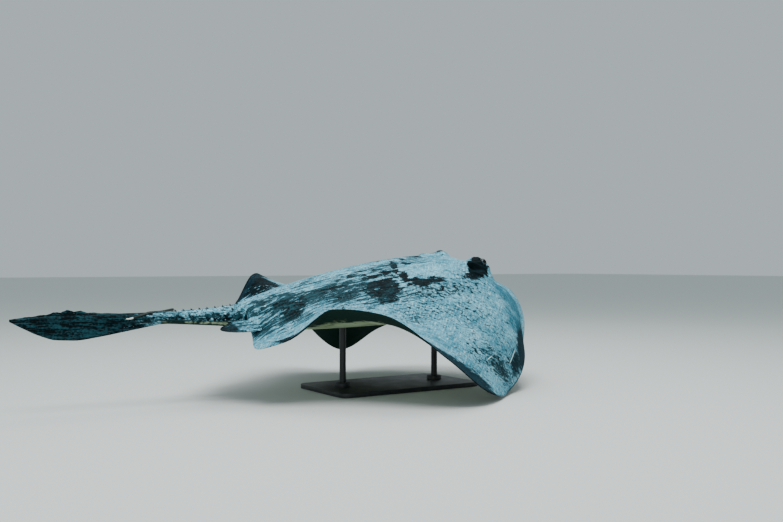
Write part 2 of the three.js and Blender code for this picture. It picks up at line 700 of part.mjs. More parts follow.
function standBase() {
  const { length, width, thick, corner, bevel } = BASE;
  const [x, y] = [length / 2 - bevel, width / 2 - bevel];
  const outline = new THREE.Shape();
  outline.absarc(x - corner, y - corner, corner, 0, 90 * RAD);
  outline.absarc(corner - x, y - corner, corner, 90 * RAD, 180 * RAD);
  outline.absarc(corner - x, corner - y, corner, 180 * RAD, 270 * RAD);
  outline.absarc(x - corner, corner - y, corner, 270 * RAD, 360 * RAD);
  const bevels = { bevelThickness: bevel, bevelSize: bevel, bevelSegments: 1 };
  const sides = { depth: thick - 2 * bevel, curveSegments: 5 };
  return new THREE.ExtrudeGeometry(outline, { ...sides, ...bevels }).translate(0, 0, bevel);
}

// A rod from the base up to the belly, cut to the belly's own shape.
function standRod(x, belly) {
  const foot = BASE.thick + GAP;
  const height = ORIGIN_HEIGHT - foot;
  const rod = new THREE.CylinderGeometry(ROD_RADIUS, ROD_RADIUS, height, ROUND)
    .rotateX(90 * RAD)
    .translate(x, 0, foot + height / 2);
  return largest(clearOf(solid(rod), belly, [[0, 0, -GAP]]));
}

function standCollar(x) {
  const { radius, height, chamfer } = COLLAR;
  const inner = ROD_RADIUS + GAP;
  const profile = [
    [inner, 0], [radius, 0], [radius, height - chamfer], [radius - chamfer, height], [inner, height],
    [inner, 0],
  ];
  const points = profile.map(([r, z]) => new THREE.Vector2(r, z));
  return new THREE.LatheGeometry(points, ROUND).rotateX(90 * RAD).translate(x, 0, BASE.thick + GAP);
}

const stand = new THREE.Group();
stand.add(named("stand_base", standBase(), FINISH.stand));
const placed = [parts.head, parts.trunk].map((made) => made.transform(ray.matrix.elements));
for (const [label, x] of Object.entries(ROD_PLACES)) {
  stand.add(named("stand_rod_" + label, geometryOf(standRod(x, placed)), FINISH.stand));
  stand.add(named("stand_collar_" + label, standCollar(x), FINISH.stand));
}

const stingray = new THREE.Group();
stingray.add(ray, stand);

export default stingray;
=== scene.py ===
"""A life-size blotched fantail ray on a plain stand, dressed around its packed solids.

The skin is one closed mesh, worked out from the same curves as the solids but far more finely. The stand,
the eyes, the sting and the thorns are modelled by hand with Blender's operators. Everything is in metres, in
the part's frame: the snout points towards +X, the ray's left is +Y, and the floor is at z 0.
"""

import math
import random

import bmesh
import bpy
import numpy as np
from mathutils import Matrix, Vector


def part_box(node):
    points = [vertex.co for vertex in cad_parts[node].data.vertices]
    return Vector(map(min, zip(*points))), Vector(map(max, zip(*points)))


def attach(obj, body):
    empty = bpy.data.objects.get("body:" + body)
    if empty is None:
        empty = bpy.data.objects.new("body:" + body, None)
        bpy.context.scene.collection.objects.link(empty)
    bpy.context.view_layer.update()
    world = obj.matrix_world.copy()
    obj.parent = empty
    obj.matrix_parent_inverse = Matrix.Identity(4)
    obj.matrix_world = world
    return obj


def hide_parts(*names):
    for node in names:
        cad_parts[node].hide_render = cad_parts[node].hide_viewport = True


bl_info = {
    "name": "Fantail ray",
    "version": (1, 0, 0),
    "blender": (4, 5, 0),
    "location": "View3D > Sidebar > Ray",
    "description": "Builds a life-size blotched fantail ray on its display stand",
    "category": "Add Mesh",
}

MM = 0.001
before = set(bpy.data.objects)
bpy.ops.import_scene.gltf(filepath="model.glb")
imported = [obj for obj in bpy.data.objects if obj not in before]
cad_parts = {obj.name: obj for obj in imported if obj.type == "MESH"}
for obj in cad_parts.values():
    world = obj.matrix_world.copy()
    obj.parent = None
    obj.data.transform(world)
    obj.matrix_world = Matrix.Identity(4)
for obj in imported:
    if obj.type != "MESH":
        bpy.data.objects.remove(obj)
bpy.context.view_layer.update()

# ---------------------------------------------------------------- the ray's form, in millimetres

ORIGIN_HEIGHT = 309
ORIGIN_AHEAD = -10
PITCH = 4.9  # degrees, snout up
ROLL = 7  # degrees, right side down

SNOUT_REACH = 552
REAR_REACH = 618
HALF_WIDTH = 618
WIDTH_POWER = 0.97
SNOUT_POINT = 14
SNOUT_POINT_SPREAD = 11.5
REAR_PINCH = 0.19
FRONT_SWELL = 0.005
CORNER_POWER = 1.5
LOBE = 61
LOBE_TURN = 163.5
LOBE_SPREAD = 12.3
TAIL_NOTCH = 70
NOTCH_TURNS = (160, 174)

SPINE_MIDDLE = -30
SPINE_HALF = 320
FOLD_START = 0.22  # the reach at which a spoke starts to bend
FOLD_END = 0.95
SPOKE_STEPS = 80

# How far each spoke has bent by the margin: (turn from the snout, degrees, up is positive)
BEND_LEFT = (
    (0, -18), (14, -34), (30, -46), (60, -61), (80, -79), (100, -17), (121, 14), (136, 27),
    (147, -5), (156, -24), (165, -20), (175.5, 0), (180, 0),
)
BEND_RIGHT = (
    (0, -18), (14, -52), (30, -76), (60, -78), (88, -51), (105, -20), (125, 15), (142, 23),
    (155, -17), (165, -28), (172, -20), (175.5, 0), (180, 0),
)

# Thickness along the body: (x, height)
CROWN = (
    (-640, 40), (-560, 45), (-400, 66), (-200, 96), (0, 116), (150, 122), (260, 112), (330, 80),
    (390, 42), (450, 25), (520, 15), (580, 9),
)
KEEL = (
    (-640, 28), (-560, 34), (-400, 44), (-200, 52), (0, 56), (200, 56), (350, 44), (480, 28), (580, 12),
)
FLANK = (
    (-640, 60), (-560, 66), (-400, 120), (-200, 180), (0, 215), (150, 225), (300, 200), (450, 170),
    (634, 120),
)
CROWN_FALL = (0.75, 2.3, 1.0)  # rate, power and spread of the fall to the sides, above
KEEL_FALL = (0.8, 2.6, 1.15)  # and below
FIN_SWELL = 13
FIN_SWELL_POWER = 0.8
EDGE_HALF = 1.6
EDGE_POWER = 20
BUMP_POWER = 1.35

# x, y, height, length and width of each raised place on the head
ORBIT = (320, 103, 43, 38, 38)
SPIRACLE_SWELL = (256, 128, 20, 42, 38)
EYE_PLACE = (317, 118)

# The tail
TAIL_LENGTH = 680
TAIL_LIFT = ((0, 0), (0.07, 6.4), (0.6, 5.6), (1, 3.6))
TAIL_SWING = 7
TAIL_ROOT_TURN = 175.5
TAIL_SLIT_TURN = 174.3
TAIL_ROOT_INSET = 3
TAIL_SIDE_GAP = 2.5
TAIL_STEPS = 40
TAIL_HALF_WIDTH = ((0, 54), (45, 42), (119, 30), (262, 21), (400, 14), (560, 8), (680, 2))
TAIL_TOP = ((0, 45), (45, 38), (119, 29), (262, 19), (400, 14), (560, 9), (680, 2.2))
TAIL_BOTTOM = ((0, 30), (45, 26), (119, 22), (262, 16), (400, 12), (560, 8), (680, 1.6))
FOLD_DEPTH = (
    (240, 0), (262, 3), (300, 12), (360, 26), (440, 44), (505, 54), (555, 53), (600, 41), (645, 21),
    (680, 3),
)
FOLD_HALF_THICK = ((262, 4), (400, 3.2), (680, 1))
TAIL_ROOT_X = TAIL_NOTCH - REAR_REACH - TAIL_ROOT_INSET
TAIL_ROOT_HALF = TAIL_HALF_WIDTH[0][1]
TAIL_SIDE_Y = TAIL_ROOT_HALF + TAIL_SIDE_GAP


def smooth(low, high, x):
    """0 below low, 1 above high, and an even S between them."""
    t = np.clip((np.asarray(x, float) - low) / (high - low), 0, 1)
    return t * t * (3 - 2 * t)


def through(keys):
    """A smooth curve through (at, value) pairs that never swings past them: a monotone cubic."""
    at, value = (np.array(column, float) for column in zip(*keys))
    step = np.diff(at)
    rise = np.diff(value) / step
    slope = np.empty(len(at))
    slope[0], slope[-1] = rise[0], rise[-1]
    for i in range(1, len(rise)):
        before, after = 2 * step[i] + step[i - 1], step[i] + 2 * step[i - 1]
        turns_back = rise[i - 1] * rise[i] <= 0
        slope[i] = 0 if turns_back else (before + after) / (before / rise[i - 1] + after / rise[i])

    def curve(x):
        x = np.clip(np.asarray(x, float), at[0], at[-1])
        i = np.clip(np.searchsorted(at, x, side="left") - 1, 0, len(step) - 1)
        t = (x - at[i]) / step[i]
        hump = t * t * (3 - 2 * t)
        slopes = slope[i] * t * (1 - t) ** 2 - slope[i + 1] * t * t * (1 - t)
        return value[i] + (value[i + 1] - value[i]) * hump + step[i] * slopes

    return curve


bend_left, bend_right = through(BEND_LEFT), through(BEND_RIGHT)
crown, keel, flank = through(CROWN), through(KEEL), through(FLANK)
tail_half_width, tail_top, tail_bottom = through(TAIL_HALF_WIDTH), through(TAIL_TOP), through(TAIL_BOTTOM)
tail_lift, fold_depth, fold_half_thick = through(TAIL_LIFT), through(FOLD_DEPTH), through(FOLD_HALF_THICK)

POSE = Matrix.Translation((ORIGIN_AHEAD * MM, 0, ORIGIN_HEIGHT * MM)) @ (
    Matrix.Rotation(math.radians(-PITCH), 4, "Y") @ Matrix.Rotation(math.radians(ROLL), 4, "X")
)


def posed(points):
    """Points of the ray's own frame, in millimetres, put where the ray hangs, in metres."""
    matrix = np.array(POSE)
    return np.asarray(points, float) * MM @ matrix[:3, :3].T + matrix[:3, 3]


# ---------------------------------------------------------------- the surface of the disc


def margin(turn):
    """The flat outline at a turn of 0 to 180 degrees from the snout: x, and y on the left side."""
    rad = np.radians(turn)
    front = turn < 90
    corner = np.abs(np.sin(2 * rad)) ** CORNER_POWER
    size = 1 + corner * np.where(front, FRONT_SWELL, -REAR_PINCH)
    lobe = LOBE * np.exp(-(((turn - LOBE_TURN) / LOBE_SPREAD) ** 2))
    free = (
        np.where(front, SNOUT_REACH, REAR_REACH) * np.cos(rad) * size
        + SNOUT_POINT * np.exp(-((turn / SNOUT_POINT_SPREAD) ** 2))
        + TAIL_NOTCH * smooth(*NOTCH_TURNS, turn)
        + lobe * math.cos(math.radians(LOBE_TURN))
    )
    y = HALF_WIDTH * np.abs(np.sin(rad)) ** WIDTH_POWER * size + lobe * math.sin(math.radians(LOBE_TURN))
    x = free + (TAIL_ROOT_X - free) * smooth(TAIL_SLIT_TURN, TAIL_ROOT_TURN, turn)
    y = np.where(front, y, np.maximum(y, TAIL_SIDE_Y))
    at_tail = turn > TAIL_ROOT_TURN
    part = (180 - turn) / (180 - TAIL_ROOT_TURN)
    return np.where(at_tail, TAIL_ROOT_X, x), np.where(at_tail, TAIL_SIDE_Y * part, y)


def bump(place, x, y):
    """A rounded rise on the flat disc."""
    at_x, at_y, height, length, width = place
    return height * np.exp(-((((x - at_x) / length) ** 2 + ((y - at_y) / width) ** 2) ** BUMP_POWER))


def fall(rate, power, spread, x, y):
    """How much of the body's height is left this far to the side of the spine."""
    return np.exp(-rate * (y / (spread * flank(x))) ** power)


def disc(turns, reaches, face):
    """The skin over a fan of spokes: points and their flat places, both shaped (turns, reaches, 3).

    A turn is in degrees, 0 at the snout, positive on the left and negative on the right. A reach is 0 on the
    spine and 1 at the margin. A flat place is x, y on the disc laid flat, and the distance to the margin.
    """
    turns, reaches = np.asarray(turns, float), np.asarray(reaches, float)
    side = np.where(turns >= 0, 1.0, -1.0)
    angle = np.abs(turns)
    end_x, end_y = margin(angle)
    start_x = SPINE_MIDDLE + SPINE_HALF * np.cos(np.radians(angle))
    length = np.hypot(end_x - start_x, end_y)
    dir_x, dir_y = (end_x - start_x) / length, end_y / length
    bend = np.radians(np.where(turns >= 0, bend_left(angle), bend_right(angle)))
    # the middle line of each spoke, added up in short steps and then read at each reach
    middles = (np.arange(SPOKE_STEPS) + 0.5) / SPOKE_STEPS
    tilt = bend[:, None] * smooth(FOLD_START, FOLD_END, middles)[None]
    step = length[:, None] / SPOKE_STEPS
    first = np.zeros((len(turns), 1))
    line_out = np.concatenate([first, np.cumsum(np.cos(tilt) * step, 1)], 1)
    line_up = np.concatenate([first, np.cumsum(np.sin(tilt) * step, 1)], 1)
    at = reaches * SPOKE_STEPS
    k = np.minimum(at.astype(int), SPOKE_STEPS - 1)
    rest = at - k
    out = line_out[:, k] * (1 - rest) + line_out[:, k + 1] * rest
    up = line_up[:, k] * (1 - rest) + line_up[:, k + 1] * rest
    tilt = bend[:, None] * smooth(FOLD_START, FOLD_END, reaches)[None]
    flat_x = start_x[:, None] + dir_x[:, None] * length[:, None] * reaches
    flat_y = dir_y[:, None] * length[:, None] * reaches
    if face > 0:
        body = crown(flat_x) * fall(*CROWN_FALL, flat_x, flat_y)
        body = body + bump(ORBIT, flat_x, flat_y) + bump(SPIRACLE_SWELL, flat_x, flat_y)
        oval_height = tail_top(0)
    else:
        body = keel(flat_x) * fall(*KEEL_FALL, flat_x, flat_y)
        oval_height = tail_bottom(0)
    closing = np.sqrt(1 - reaches**EDGE_POWER)
    half = (body + FIN_SWELL * (1 - reaches) ** FIN_SWELL_POWER) * closing + EDGE_HALF
    # at the tail the disc doesn't close: it ends in the tail's own oval
    across = np.minimum(1, TAIL_SIDE_Y * (180 - angle) / (180 - TAIL_ROOT_TURN) / TAIL_ROOT_HALF)
    oval = oval_height * np.sqrt(np.maximum(0, 1 - across**2))
    at_tail = np.maximum(0, oval - EDGE_HALF)[:, None] * (1 - closing)
    half = half + np.where((angle > TAIL_ROOT_TURN)[:, None], at_tail, 0)
    out = out - np.sin(tilt) * half * face
    up = up + np.cos(tilt) * half * face
    points = np.stack(
        [start_x[:, None] + dir_x[:, None] * out, (side * dir_y)[:, None] * out, up + 0 * out], -1
    )
    to_margin = length[:, None] * (1 - reaches)
    return points, np.stack([flat_x, side[:, None] * flat_y, to_margin], -1)


def tail_line():
    """The tail's middle line: points, and the way it runs at each."""
    points, ways = [np.array([TAIL_ROOT_X, 0.0, 0.0])], []
    for k in range(TAIL_STEPS + 1):
        part = k / TAIL_STEPS
        lift, swing = math.radians(float(tail_lift(part))), math.radians(TAIL_SWING * part)
        level = math.cos(lift)
        ways.append(np.array([-level * math.cos(swing), level * math.sin(swing), math.sin(lift)]))
        points.append(points[-1] + ways[-1] * TAIL_LENGTH / TAIL_STEPS)
    return np.array(points[:-1]), np.array(ways)


TAIL_POINTS, TAIL_WAYS = tail_line()


def tail_frame(distance):
    """The tail's middle at a distance from its root, with its left and its up there."""
    at = min(max(distance / TAIL_LENGTH, 0), 1) * TAIL_STEPS
    k = min(int(at), TAIL_STEPS - 1)
    point = TAIL_POINTS[k] + (TAIL_POINTS[k + 1] - TAIL_POINTS[k]) * (at - k)
    back = TAIL_WAYS[k] + (TAIL_WAYS[k + 1] - TAIL_WAYS[k]) * (at - k)
    back = back / np.linalg.norm(back)
    left = -np.cross([0, 0, 1], back)
    left = left / np.linalg.norm(left)
    return point, left, -np.cross(back, left)


def tail_point(distance, across, high):
    """A point beside the tail's middle line, in the ray's own frame."""
    point, left, up = tail_frame(distance)
    return point + left * across + up * high


# ---------------------------------------------------------------- the skin's own relief

EYE_RADIUS = 15
SOCKET_DEPTH = 17
LID = (3.6, 1.5, 4.0)  # height, how far out from the ball it lies, and half width
LID_RISES = (95, 125)  # the lid is higher on the outer side, from one y to the other
SPIRACLE_PIT = (262, 147, 17, 29, 17)  # x, y, depth, half length and half width
SPIRACLE_LIP = 3.2  # how far its lip stands up
VALVE = (4.5, 16, 5)  # the fold inside the spiracle: height, how far ahead of its middle, half length
GROOVE = (1.6, 34, 11)  # down each side of the spine: depth, y and half width
GROOVE_ENDS = (-430, -250, 120, 230)  # it fades in between the first two x, and out between the others
STEEP_BROW = (362, 132, 9, 22, 34, -30)  # the steep front of the orbit: x, y, depth, halves and turn
MOUTH_SLIT = (330, 56, 7, 9)  # x, half width, half length and depth
MOUTH_BOW = 9  # how far back the mouth's corners lie
LOWER_LIP = (2.4, 13, 5)  # height, how far behind the slit, and half length
CURTAIN = (352, 40, 6.5, 17)  # the flap in front of the mouth: x, half width, thickness and length
NOSTRIL = (362, 46, 6.5, 12, 5, 55)  # x, y, depth, half length, half width, turn
GILL_PAIRS = 5
GILL_FIRST = (235, 116)
GILL_LAST = (103, 76)
GILL_SLIT = (16, 3.0, 6.0, 18)  # half length, half width, depth and turn
GILL_FLAP = (1.8, 7, 4.5)  # the rise behind each slit: height, how far behind, and half width
VENT = (-440, 26, 9, 7)  # the vent: x, half length, half width and depth


def dent(x, y, at, half, turn=0, sharp=2.0):
    """1 in the middle of an oval place and 0 outside it, with a soft wall."""
    c, s = math.cos(math.radians(turn)), math.sin(math.radians(turn))
    dx, dy = x - at[0], y - at[1]
    along, across = (dx * c + dy * s) / half[0], (-dx * s + dy * c) / half[1]
    return np.exp(-((along**2 + across**2) ** sharp))


def relief_above(flat):
    """How far the upper skin stands off its plain form, in millimetres."""
    x, y = flat[..., 0], np.abs(flat[..., 1])
    ring = np.hypot(x - EYE_PLACE[0], (y - EYE_PLACE[1]) / 0.95)
    socket = -SOCKET_DEPTH * (1 - smooth(EYE_RADIUS - 5, EYE_RADIUS - 0.5, ring))
    lid_height, lid_out, lid_half = LID
    lid = lid_height * np.exp(-(((ring - EYE_RADIUS - lid_out) / lid_half) ** 2))
    lid = lid * (0.55 + 0.45 * smooth(*LID_RISES, y))
    at_x, at_y, depth, half_length, half_width = SPIRACLE_PIT
    away = np.hypot((x - at_x) / half_length, (y - at_y) / half_width)
    pit = -depth * (1 - smooth(0.45, 1.02, away))
    lip = SPIRACLE_LIP * np.exp(-(((away - 1.16) / 0.16) ** 2))
    rise, ahead, half = VALVE
    valve = rise * np.exp(-(((x - at_x - ahead) / half) ** 2)) * (1 - smooth(0.4, 0.95, away))
    groove_depth, groove_y, groove_half = GROOVE
    groove = -groove_depth * np.exp(-(((y - groove_y - 0.02 * np.abs(x)) / groove_half) ** 2))
    groove = groove * smooth(*GROOVE_ENDS[:2], x) * (1 - smooth(*GROOVE_ENDS[2:], x))
    brow = -STEEP_BROW[2] * dent(x, y, STEEP_BROW[:2], STEEP_BROW[3:5], STEEP_BROW[5], 1.0)
    return socket + lid + pit + lip + valve + groove + brow


def relief_below(flat):
    """How far the under skin stands off its plain form, in millimetres."""
    x, y = flat[..., 0], flat[..., 1]
    slit_x, half_width, half_length, depth = MOUTH_SLIT
    aside = np.abs(y) / half_width
    ahead = x - slit_x + MOUTH_BOW * aside**2
    mouth = -depth * np.exp(-((ahead / half_length) ** 2)) * (1 - smooth(0.82, 1.05, aside))
    lip_height, behind, lip_half = LOWER_LIP
    lip = lip_height * np.exp(-(((ahead + behind) / lip_half) ** 2)) * (1 - smooth(0.7, 1.0, aside))
    flap_x, flap_half, flap_thick, flap_length = CURTAIN
    curtain = flap_thick * smooth(-flap_length, -flap_length + 5, x - flap_x - 4)
    curtain = curtain * (1 - smooth(-3, 16, x - flap_x)) * (1 - smooth(flap_half - 7, flap_half, np.abs(y)))
    n_x, n_y, n_depth, n_length, n_width, n_turn = NOSTRIL
    nostril = -n_depth * dent(x, np.abs(y), (n_x, n_y), (n_length, n_width), n_turn)
    total = mouth + lip + curtain + nostril
    half_long, half_wide, gill_depth, gill_turn = GILL_SLIT
    flap_height, back, flap_wide = GILL_FLAP
    for pair in range(GILL_PAIRS):
        part = pair / (GILL_PAIRS - 1)
        at = [GILL_FIRST[k] + (GILL_LAST[k] - GILL_FIRST[k]) * part for k in (0, 1)]
        total = total - gill_depth * dent(x, np.abs(y), at, (half_wide, half_long), -gill_turn)
        flap_at, flap_halves = (at[0] - back, at[1]), (flap_wide, half_long * 0.9)
        total = total + flap_height * dent(x, np.abs(y), flap_at, flap_halves, -gill_turn)
    vent_x, vent_long, vent_wide, vent_depth = VENT
    return total - vent_depth * dent(x, y, (vent_x, 0), (vent_long, vent_wide))


# ---------------------------------------------------------------- the skin's mesh

CLOSING_REACHES = (0.965, 0.98, 0.99, 0.995, 1.0)
# Runs of the grid: from, to and step. The spokes, in degrees, and the upper reaches stand closer round the
# eyes and spiracles, and the spokes again beside the tail.
SPOKE_RUNS = (
    (0, 19, 1.5), (19, 66, 0.55), (66, 158, 1.5), (158, TAIL_SLIT_TURN, 0.7),
    (TAIL_SLIT_TURN, TAIL_ROOT_TURN, 0.3),
)
UPPER_RUNS = ((0, 0.14, 0.0155), (0.14, 0.47, 0.0062), (0.47, CLOSING_REACHES[0], 0.0155))
UNDER_RUNS = ((0, CLOSING_REACHES[0], 0.0125),)
RING_HALF = 22  # steps of the tail's oval from its side to the top
RING_STEP = 5.0  # millimetres between rings of the tail
EDGE_FADES = 55  # how far down the tail the disc's thin edge runs
FOLD_SPAN = 34  # degrees of the tail's underside, each side of its lowest line, that the fold grows from
RIDGE_SPAN = 26  # and of its top that the ridge grows from
FAR_FROM_MARGIN = 400


def spread(low, high, step):
    """Even places from low to high, about a step apart."""
    return np.linspace(low, high, max(2, int(round((high - low) / step)) + 1))


def along(runs, ending):
    """The places of all the runs, and then the ending's."""
    return np.concatenate([*[spread(*run)[:-1] for run in runs], ending])


def half_turns():
    """The turns of the left side's spokes, 0 to 180, ending with the tail's oval, and that oval's count."""
    theta = np.linspace(0, math.pi / 2, RING_HALF + 1)
    part = np.cos(theta) * TAIL_ROOT_HALF / TAIL_SIDE_Y
    ring = 180 - part * (180 - TAIL_ROOT_TURN)
    return along(SPOKE_RUNS, [TAIL_ROOT_TURN, *ring]), RING_HALF + 1


def normals_of(points):
    """Outward directions of a grid shaped (turns, reaches, 3); upward for the upper face's order."""
    along = np.gradient(points, axis=1)
    across = np.gradient(points, axis=0)
    n = np.cross(along, across)
    return n / np.maximum(np.linalg.norm(n, axis=-1, keepdims=True), 1e-9)


def ring_place(distance, theta, upper, side, corner):
    """A point of the tail's section: across and high, in millimetres.

    theta is 0 at its side and 90 degrees at its top or its lowest line. corner is 0 on the oval, 1 at the
    thin edge that runs in from the disc's margin, and 2 on the very rim of it.
    """
    fade = 1 - float(smooth(0, EDGE_FADES, distance))
    wide, top, bottom = (float(f(distance)) for f in (tail_half_width, tail_top, tail_bottom))
    thin = EDGE_HALF * (0.12 + 0.88 * fade)
    if corner:
        out = wide + 0.15 + (TAIL_SIDE_GAP - 0.15) * fade + (corner - 1) * (0.1 + 0.9 * fade)
        high = 0.0 if corner == 2 else 0.8 * thin * (1 if upper else -1)
        return side * out, high
    high = max(thin, math.sin(theta) * (top if upper else bottom))
    across = math.cos(theta) * wide
    from_middle = math.degrees(math.pi / 2 - theta)
    if upper:
        crest = max(0.0, 1 - from_middle / RIDGE_SPAN)
        return side * across, high + ridge(distance) * crest**1.5
    if from_middle < FOLD_SPAN:
        down = 1 - from_middle / FOLD_SPAN
        depth = float(fold_depth(distance))
        grown = float(smooth(0, 14, depth))
        thick = float(fold_half_thick(distance)) * (1 - 0.55 * float(smooth(0.5, 1.02, down)))
        thick = 0.0 if from_middle < 1e-6 else thick
        across = across + (thick - across) * grown
        high = high + (bottom - high) * grown + depth * down
    return side * across, -high


RIDGE = (385, 672, 5.0)  # along the top of the tail's rear: from, to and height
CREST = (524, 52, 11.0)  # its highest part: place, spread and height
KNOBS = (37, 12.5)  # lengths of the two waves that fray it


def ridge(distance):
    """The ragged ridge along the top of the tail's rear length."""
    start, end, height = RIDGE
    at, spread_out, rise = CREST
    part = min(max((distance - start) / (end - start), 0), 1)
    long, short = (math.sin(2 * math.pi * distance / knob) for knob in KNOBS)
    crest = rise * math.exp(-(((distance - at) / spread_out) ** 2))
    return (height * math.sqrt(math.sin(math.pi * part)) + crest) * (0.84 + 0.16 * long + 0.1 * short * part)


class Skin:
    """Points, faces and the values that the pattern reads, gathered piece by piece.

    upper is 1 on the upper side and 0 on the lower. tail is the distance down the tail, and 0 on the disc.
    """

    def __init__(self):
        self.points, self.place, self.flat, self.upper, self.tail, self.faces = [], [], [], [], [], []

    def add(self, point, flat, upper, tail=0.0, place=None):
        """Adds a point and returns its number. Without a place, the pattern reads its flat x and y."""
        self.points.append(point)
        self.place.append(place or (flat[0], flat[1], 0))
        self.flat.append(flat)
        self.upper.append(upper)
        self.tail.append(tail)
        return len(self.points) - 1

    def quad(self, *corners):
        """Adds a face, leaving out a corner that is there twice."""
        corners = list(dict.fromkeys(corners))
        if len(corners) > 2:
            self.faces.append(corners)


def relieved(turns, reaches, face, relief):
    """One face of the disc, moved out or in by its relief."""
    points, flat = disc(turns, reaches, face)
    wrapped = np.concatenate([points[-1:], points, points[:1]])
    normals = normals_of(wrapped)[1:-1] * face
    normals[:, 0, 1] = 0
    normals /= np.maximum(np.linalg.norm(normals, axis=-1, keepdims=True), 1e-9)
    inside = (1 - smooth(0.93, 0.985, reaches))[None, :]
    return points + normals * (relief(flat) * inside)[..., None], flat


def disc_grid(skin, turns, reaches, face, relief):
    """Adds one face of the disc. Left and right share their points on the spine."""
    points, flat = relieved(turns, reaches, face, relief)
    count, index = len(turns), np.zeros(points.shape[:2], int)
    for i in range(count):
        mirror = (count - i) % count
        for j in range(len(reaches)):
            if j == 0 and mirror < i:
                index[i, 0] = index[mirror, 0]
                continue
            level = 1.0 if face > 0 else 0.0
            index[i, j] = skin.add(points[i, j], flat[i, j], level)
    for i in range(count):
        n = (i + 1) % count
        for j in range(len(reaches) - 1):
            corners = [index[i, j], index[i, j + 1], index[n, j + 1], index[n, j]]
            skin.quad(*(corners if face > 0 else corners[::-1]))
    return index[:, -1], points[:, -1], flat[:, -1]


def tail_columns(turns, ring_count):
    """The columns of the disc that run on into the tail, from the left margin to the right."""
    middle = int(np.argmin(np.abs(np.abs(turns) - 180)))
    return list(range(middle - ring_count, middle + ring_count + 1)), middle


def tail_mesh(skin, start, columns, middle):
    """Adds the tail, ring by ring, from the disc's last row to its tip."""
    thetas = np.linspace(0, math.pi / 2, RING_HALF + 1)

    def spots_of(run, upper):
        """Where each column of the run lies on the tail's section."""
        for column in run:
            away, side = abs(column - middle), 1 if column <= middle else -1
            beside = away > RING_HALF
            yield 0.0 if beside else thetas[RING_HALF - away], side, upper, int(beside)

    rings = [start]
    distances = np.linspace(0, TAIL_LENGTH, int(TAIL_LENGTH / RING_STEP) + 1)[1:]
    spots = [*spots_of(columns, True), (0.0, -1, True, 2)]
    spots += [*spots_of(reversed(columns), False), (0.0, 1, True, 2)]
    for distance in distances:
        ring = []
        for theta, side, upper, corner in spots:
            across, high = ring_place(distance, theta, upper, side, corner)
            point = tail_point(distance, across, high)
            level = 0.5 if corner else 0.5 + 0.5 * math.sin(theta) * (1 if upper else -1)
            flat = (TAIL_ROOT_X - distance, across, FAR_FROM_MARGIN)
            # the pattern runs round the tail as well as along it
            place = (flat[0], across, high * float(smooth(0, 60, distance)))
            ring.append(skin.add(point, flat, level, distance, place))
        rings.append(ring)
    for one, two in zip(rings, rings[1:]):
        for k in range(len(one)):
            n = (k + 1) % len(one)
            skin.quad(one[k], two[k], two[n], one[n])
    end = (TAIL_ROOT_X - TAIL_LENGTH, 0, FAR_FROM_MARGIN)
    tip = skin.add(tail_point(TAIL_LENGTH + 1.5, 0, 0), end, 0.5, TAIL_LENGTH, (end[0], 0, 0))
    last = rings[-1]
    for k in range(len(last)):
        skin.quad(last[k], tip, last[(k + 1) % len(last)], last[k])


PELVIC = (-570, 82, -12)
PELVIC_TURNS = (9, 14)  # splay and droop, degrees
PELVIC_HALF = (92, 44, 7.5, 0.8)  # length, width, thickness and edge
PELVIC_TAPER = 0.22
PELVIC_ROUND = 2.2
ON_PELVIC = -1.0  # stands where other points have their distance down the tail


def pelvic_mesh(skin, side, around=72, rings=14):
    """Adds a pelvic fin, a thin oval flap whose root lies inside the body."""
    length, width, thick, edge = PELVIC_HALF
    splay, droop = PELVIC_TURNS
    turn = Matrix.Rotation(math.radians(180 - side * splay), 4, "Z") @ Matrix.Rotation(
        math.radians(side * droop), 4, "X"
    )
    at = Matrix.Translation((PELVIC[0], side * PELVIC[1], PELVIC[2])) @ turn

    def point(k, r, face):
        """The fin's surface at a step round it and a part of the way from its middle to its edge."""
        angle = k / around * 2 * math.pi
        along = math.cos(angle) * r * length
        across = math.sin(angle) * r * width * (1 - PELVIC_TAPER * math.cos(angle))
        closing = math.sqrt(max(0.0, 1 - r**14))
        return at @ Vector((along, across, face * (edge * closing + thick * (1 - r**PELVIC_ROUND))))

    radii = [1 - (1 - k / rings) ** 1.4 for k in range(rings + 1)]
    grids = {}
    for face in (1, -1):
        hub = skin.add(point(0, 0, face), (*point(0, 0, face)[:2], 150), 0.5 + 0.5 * face, ON_PELVIC)
        grids[face] = [[hub] * around]
        for r in radii[1:]:
            if r >= 1 and face < 0:
                grids[face].append(grids[1][-1])
                continue
            row = [point(k, r, face) for k in range(around)]
            far = (1 - r) * width
            level = 0.5 + 0.5 * face
            grids[face].append([skin.add(p, (p[0], p[1], far), level, ON_PELVIC) for p in row])
    for face in (1, -1):
        for one, two in zip(grids[face], grids[face][1:]):
            for k in range(around):
                n = (k + 1) % around
                corners = [one[k], two[k], two[n], one[n]]
                skin.quad(*(corners if face > 0 else corners[::-1]))


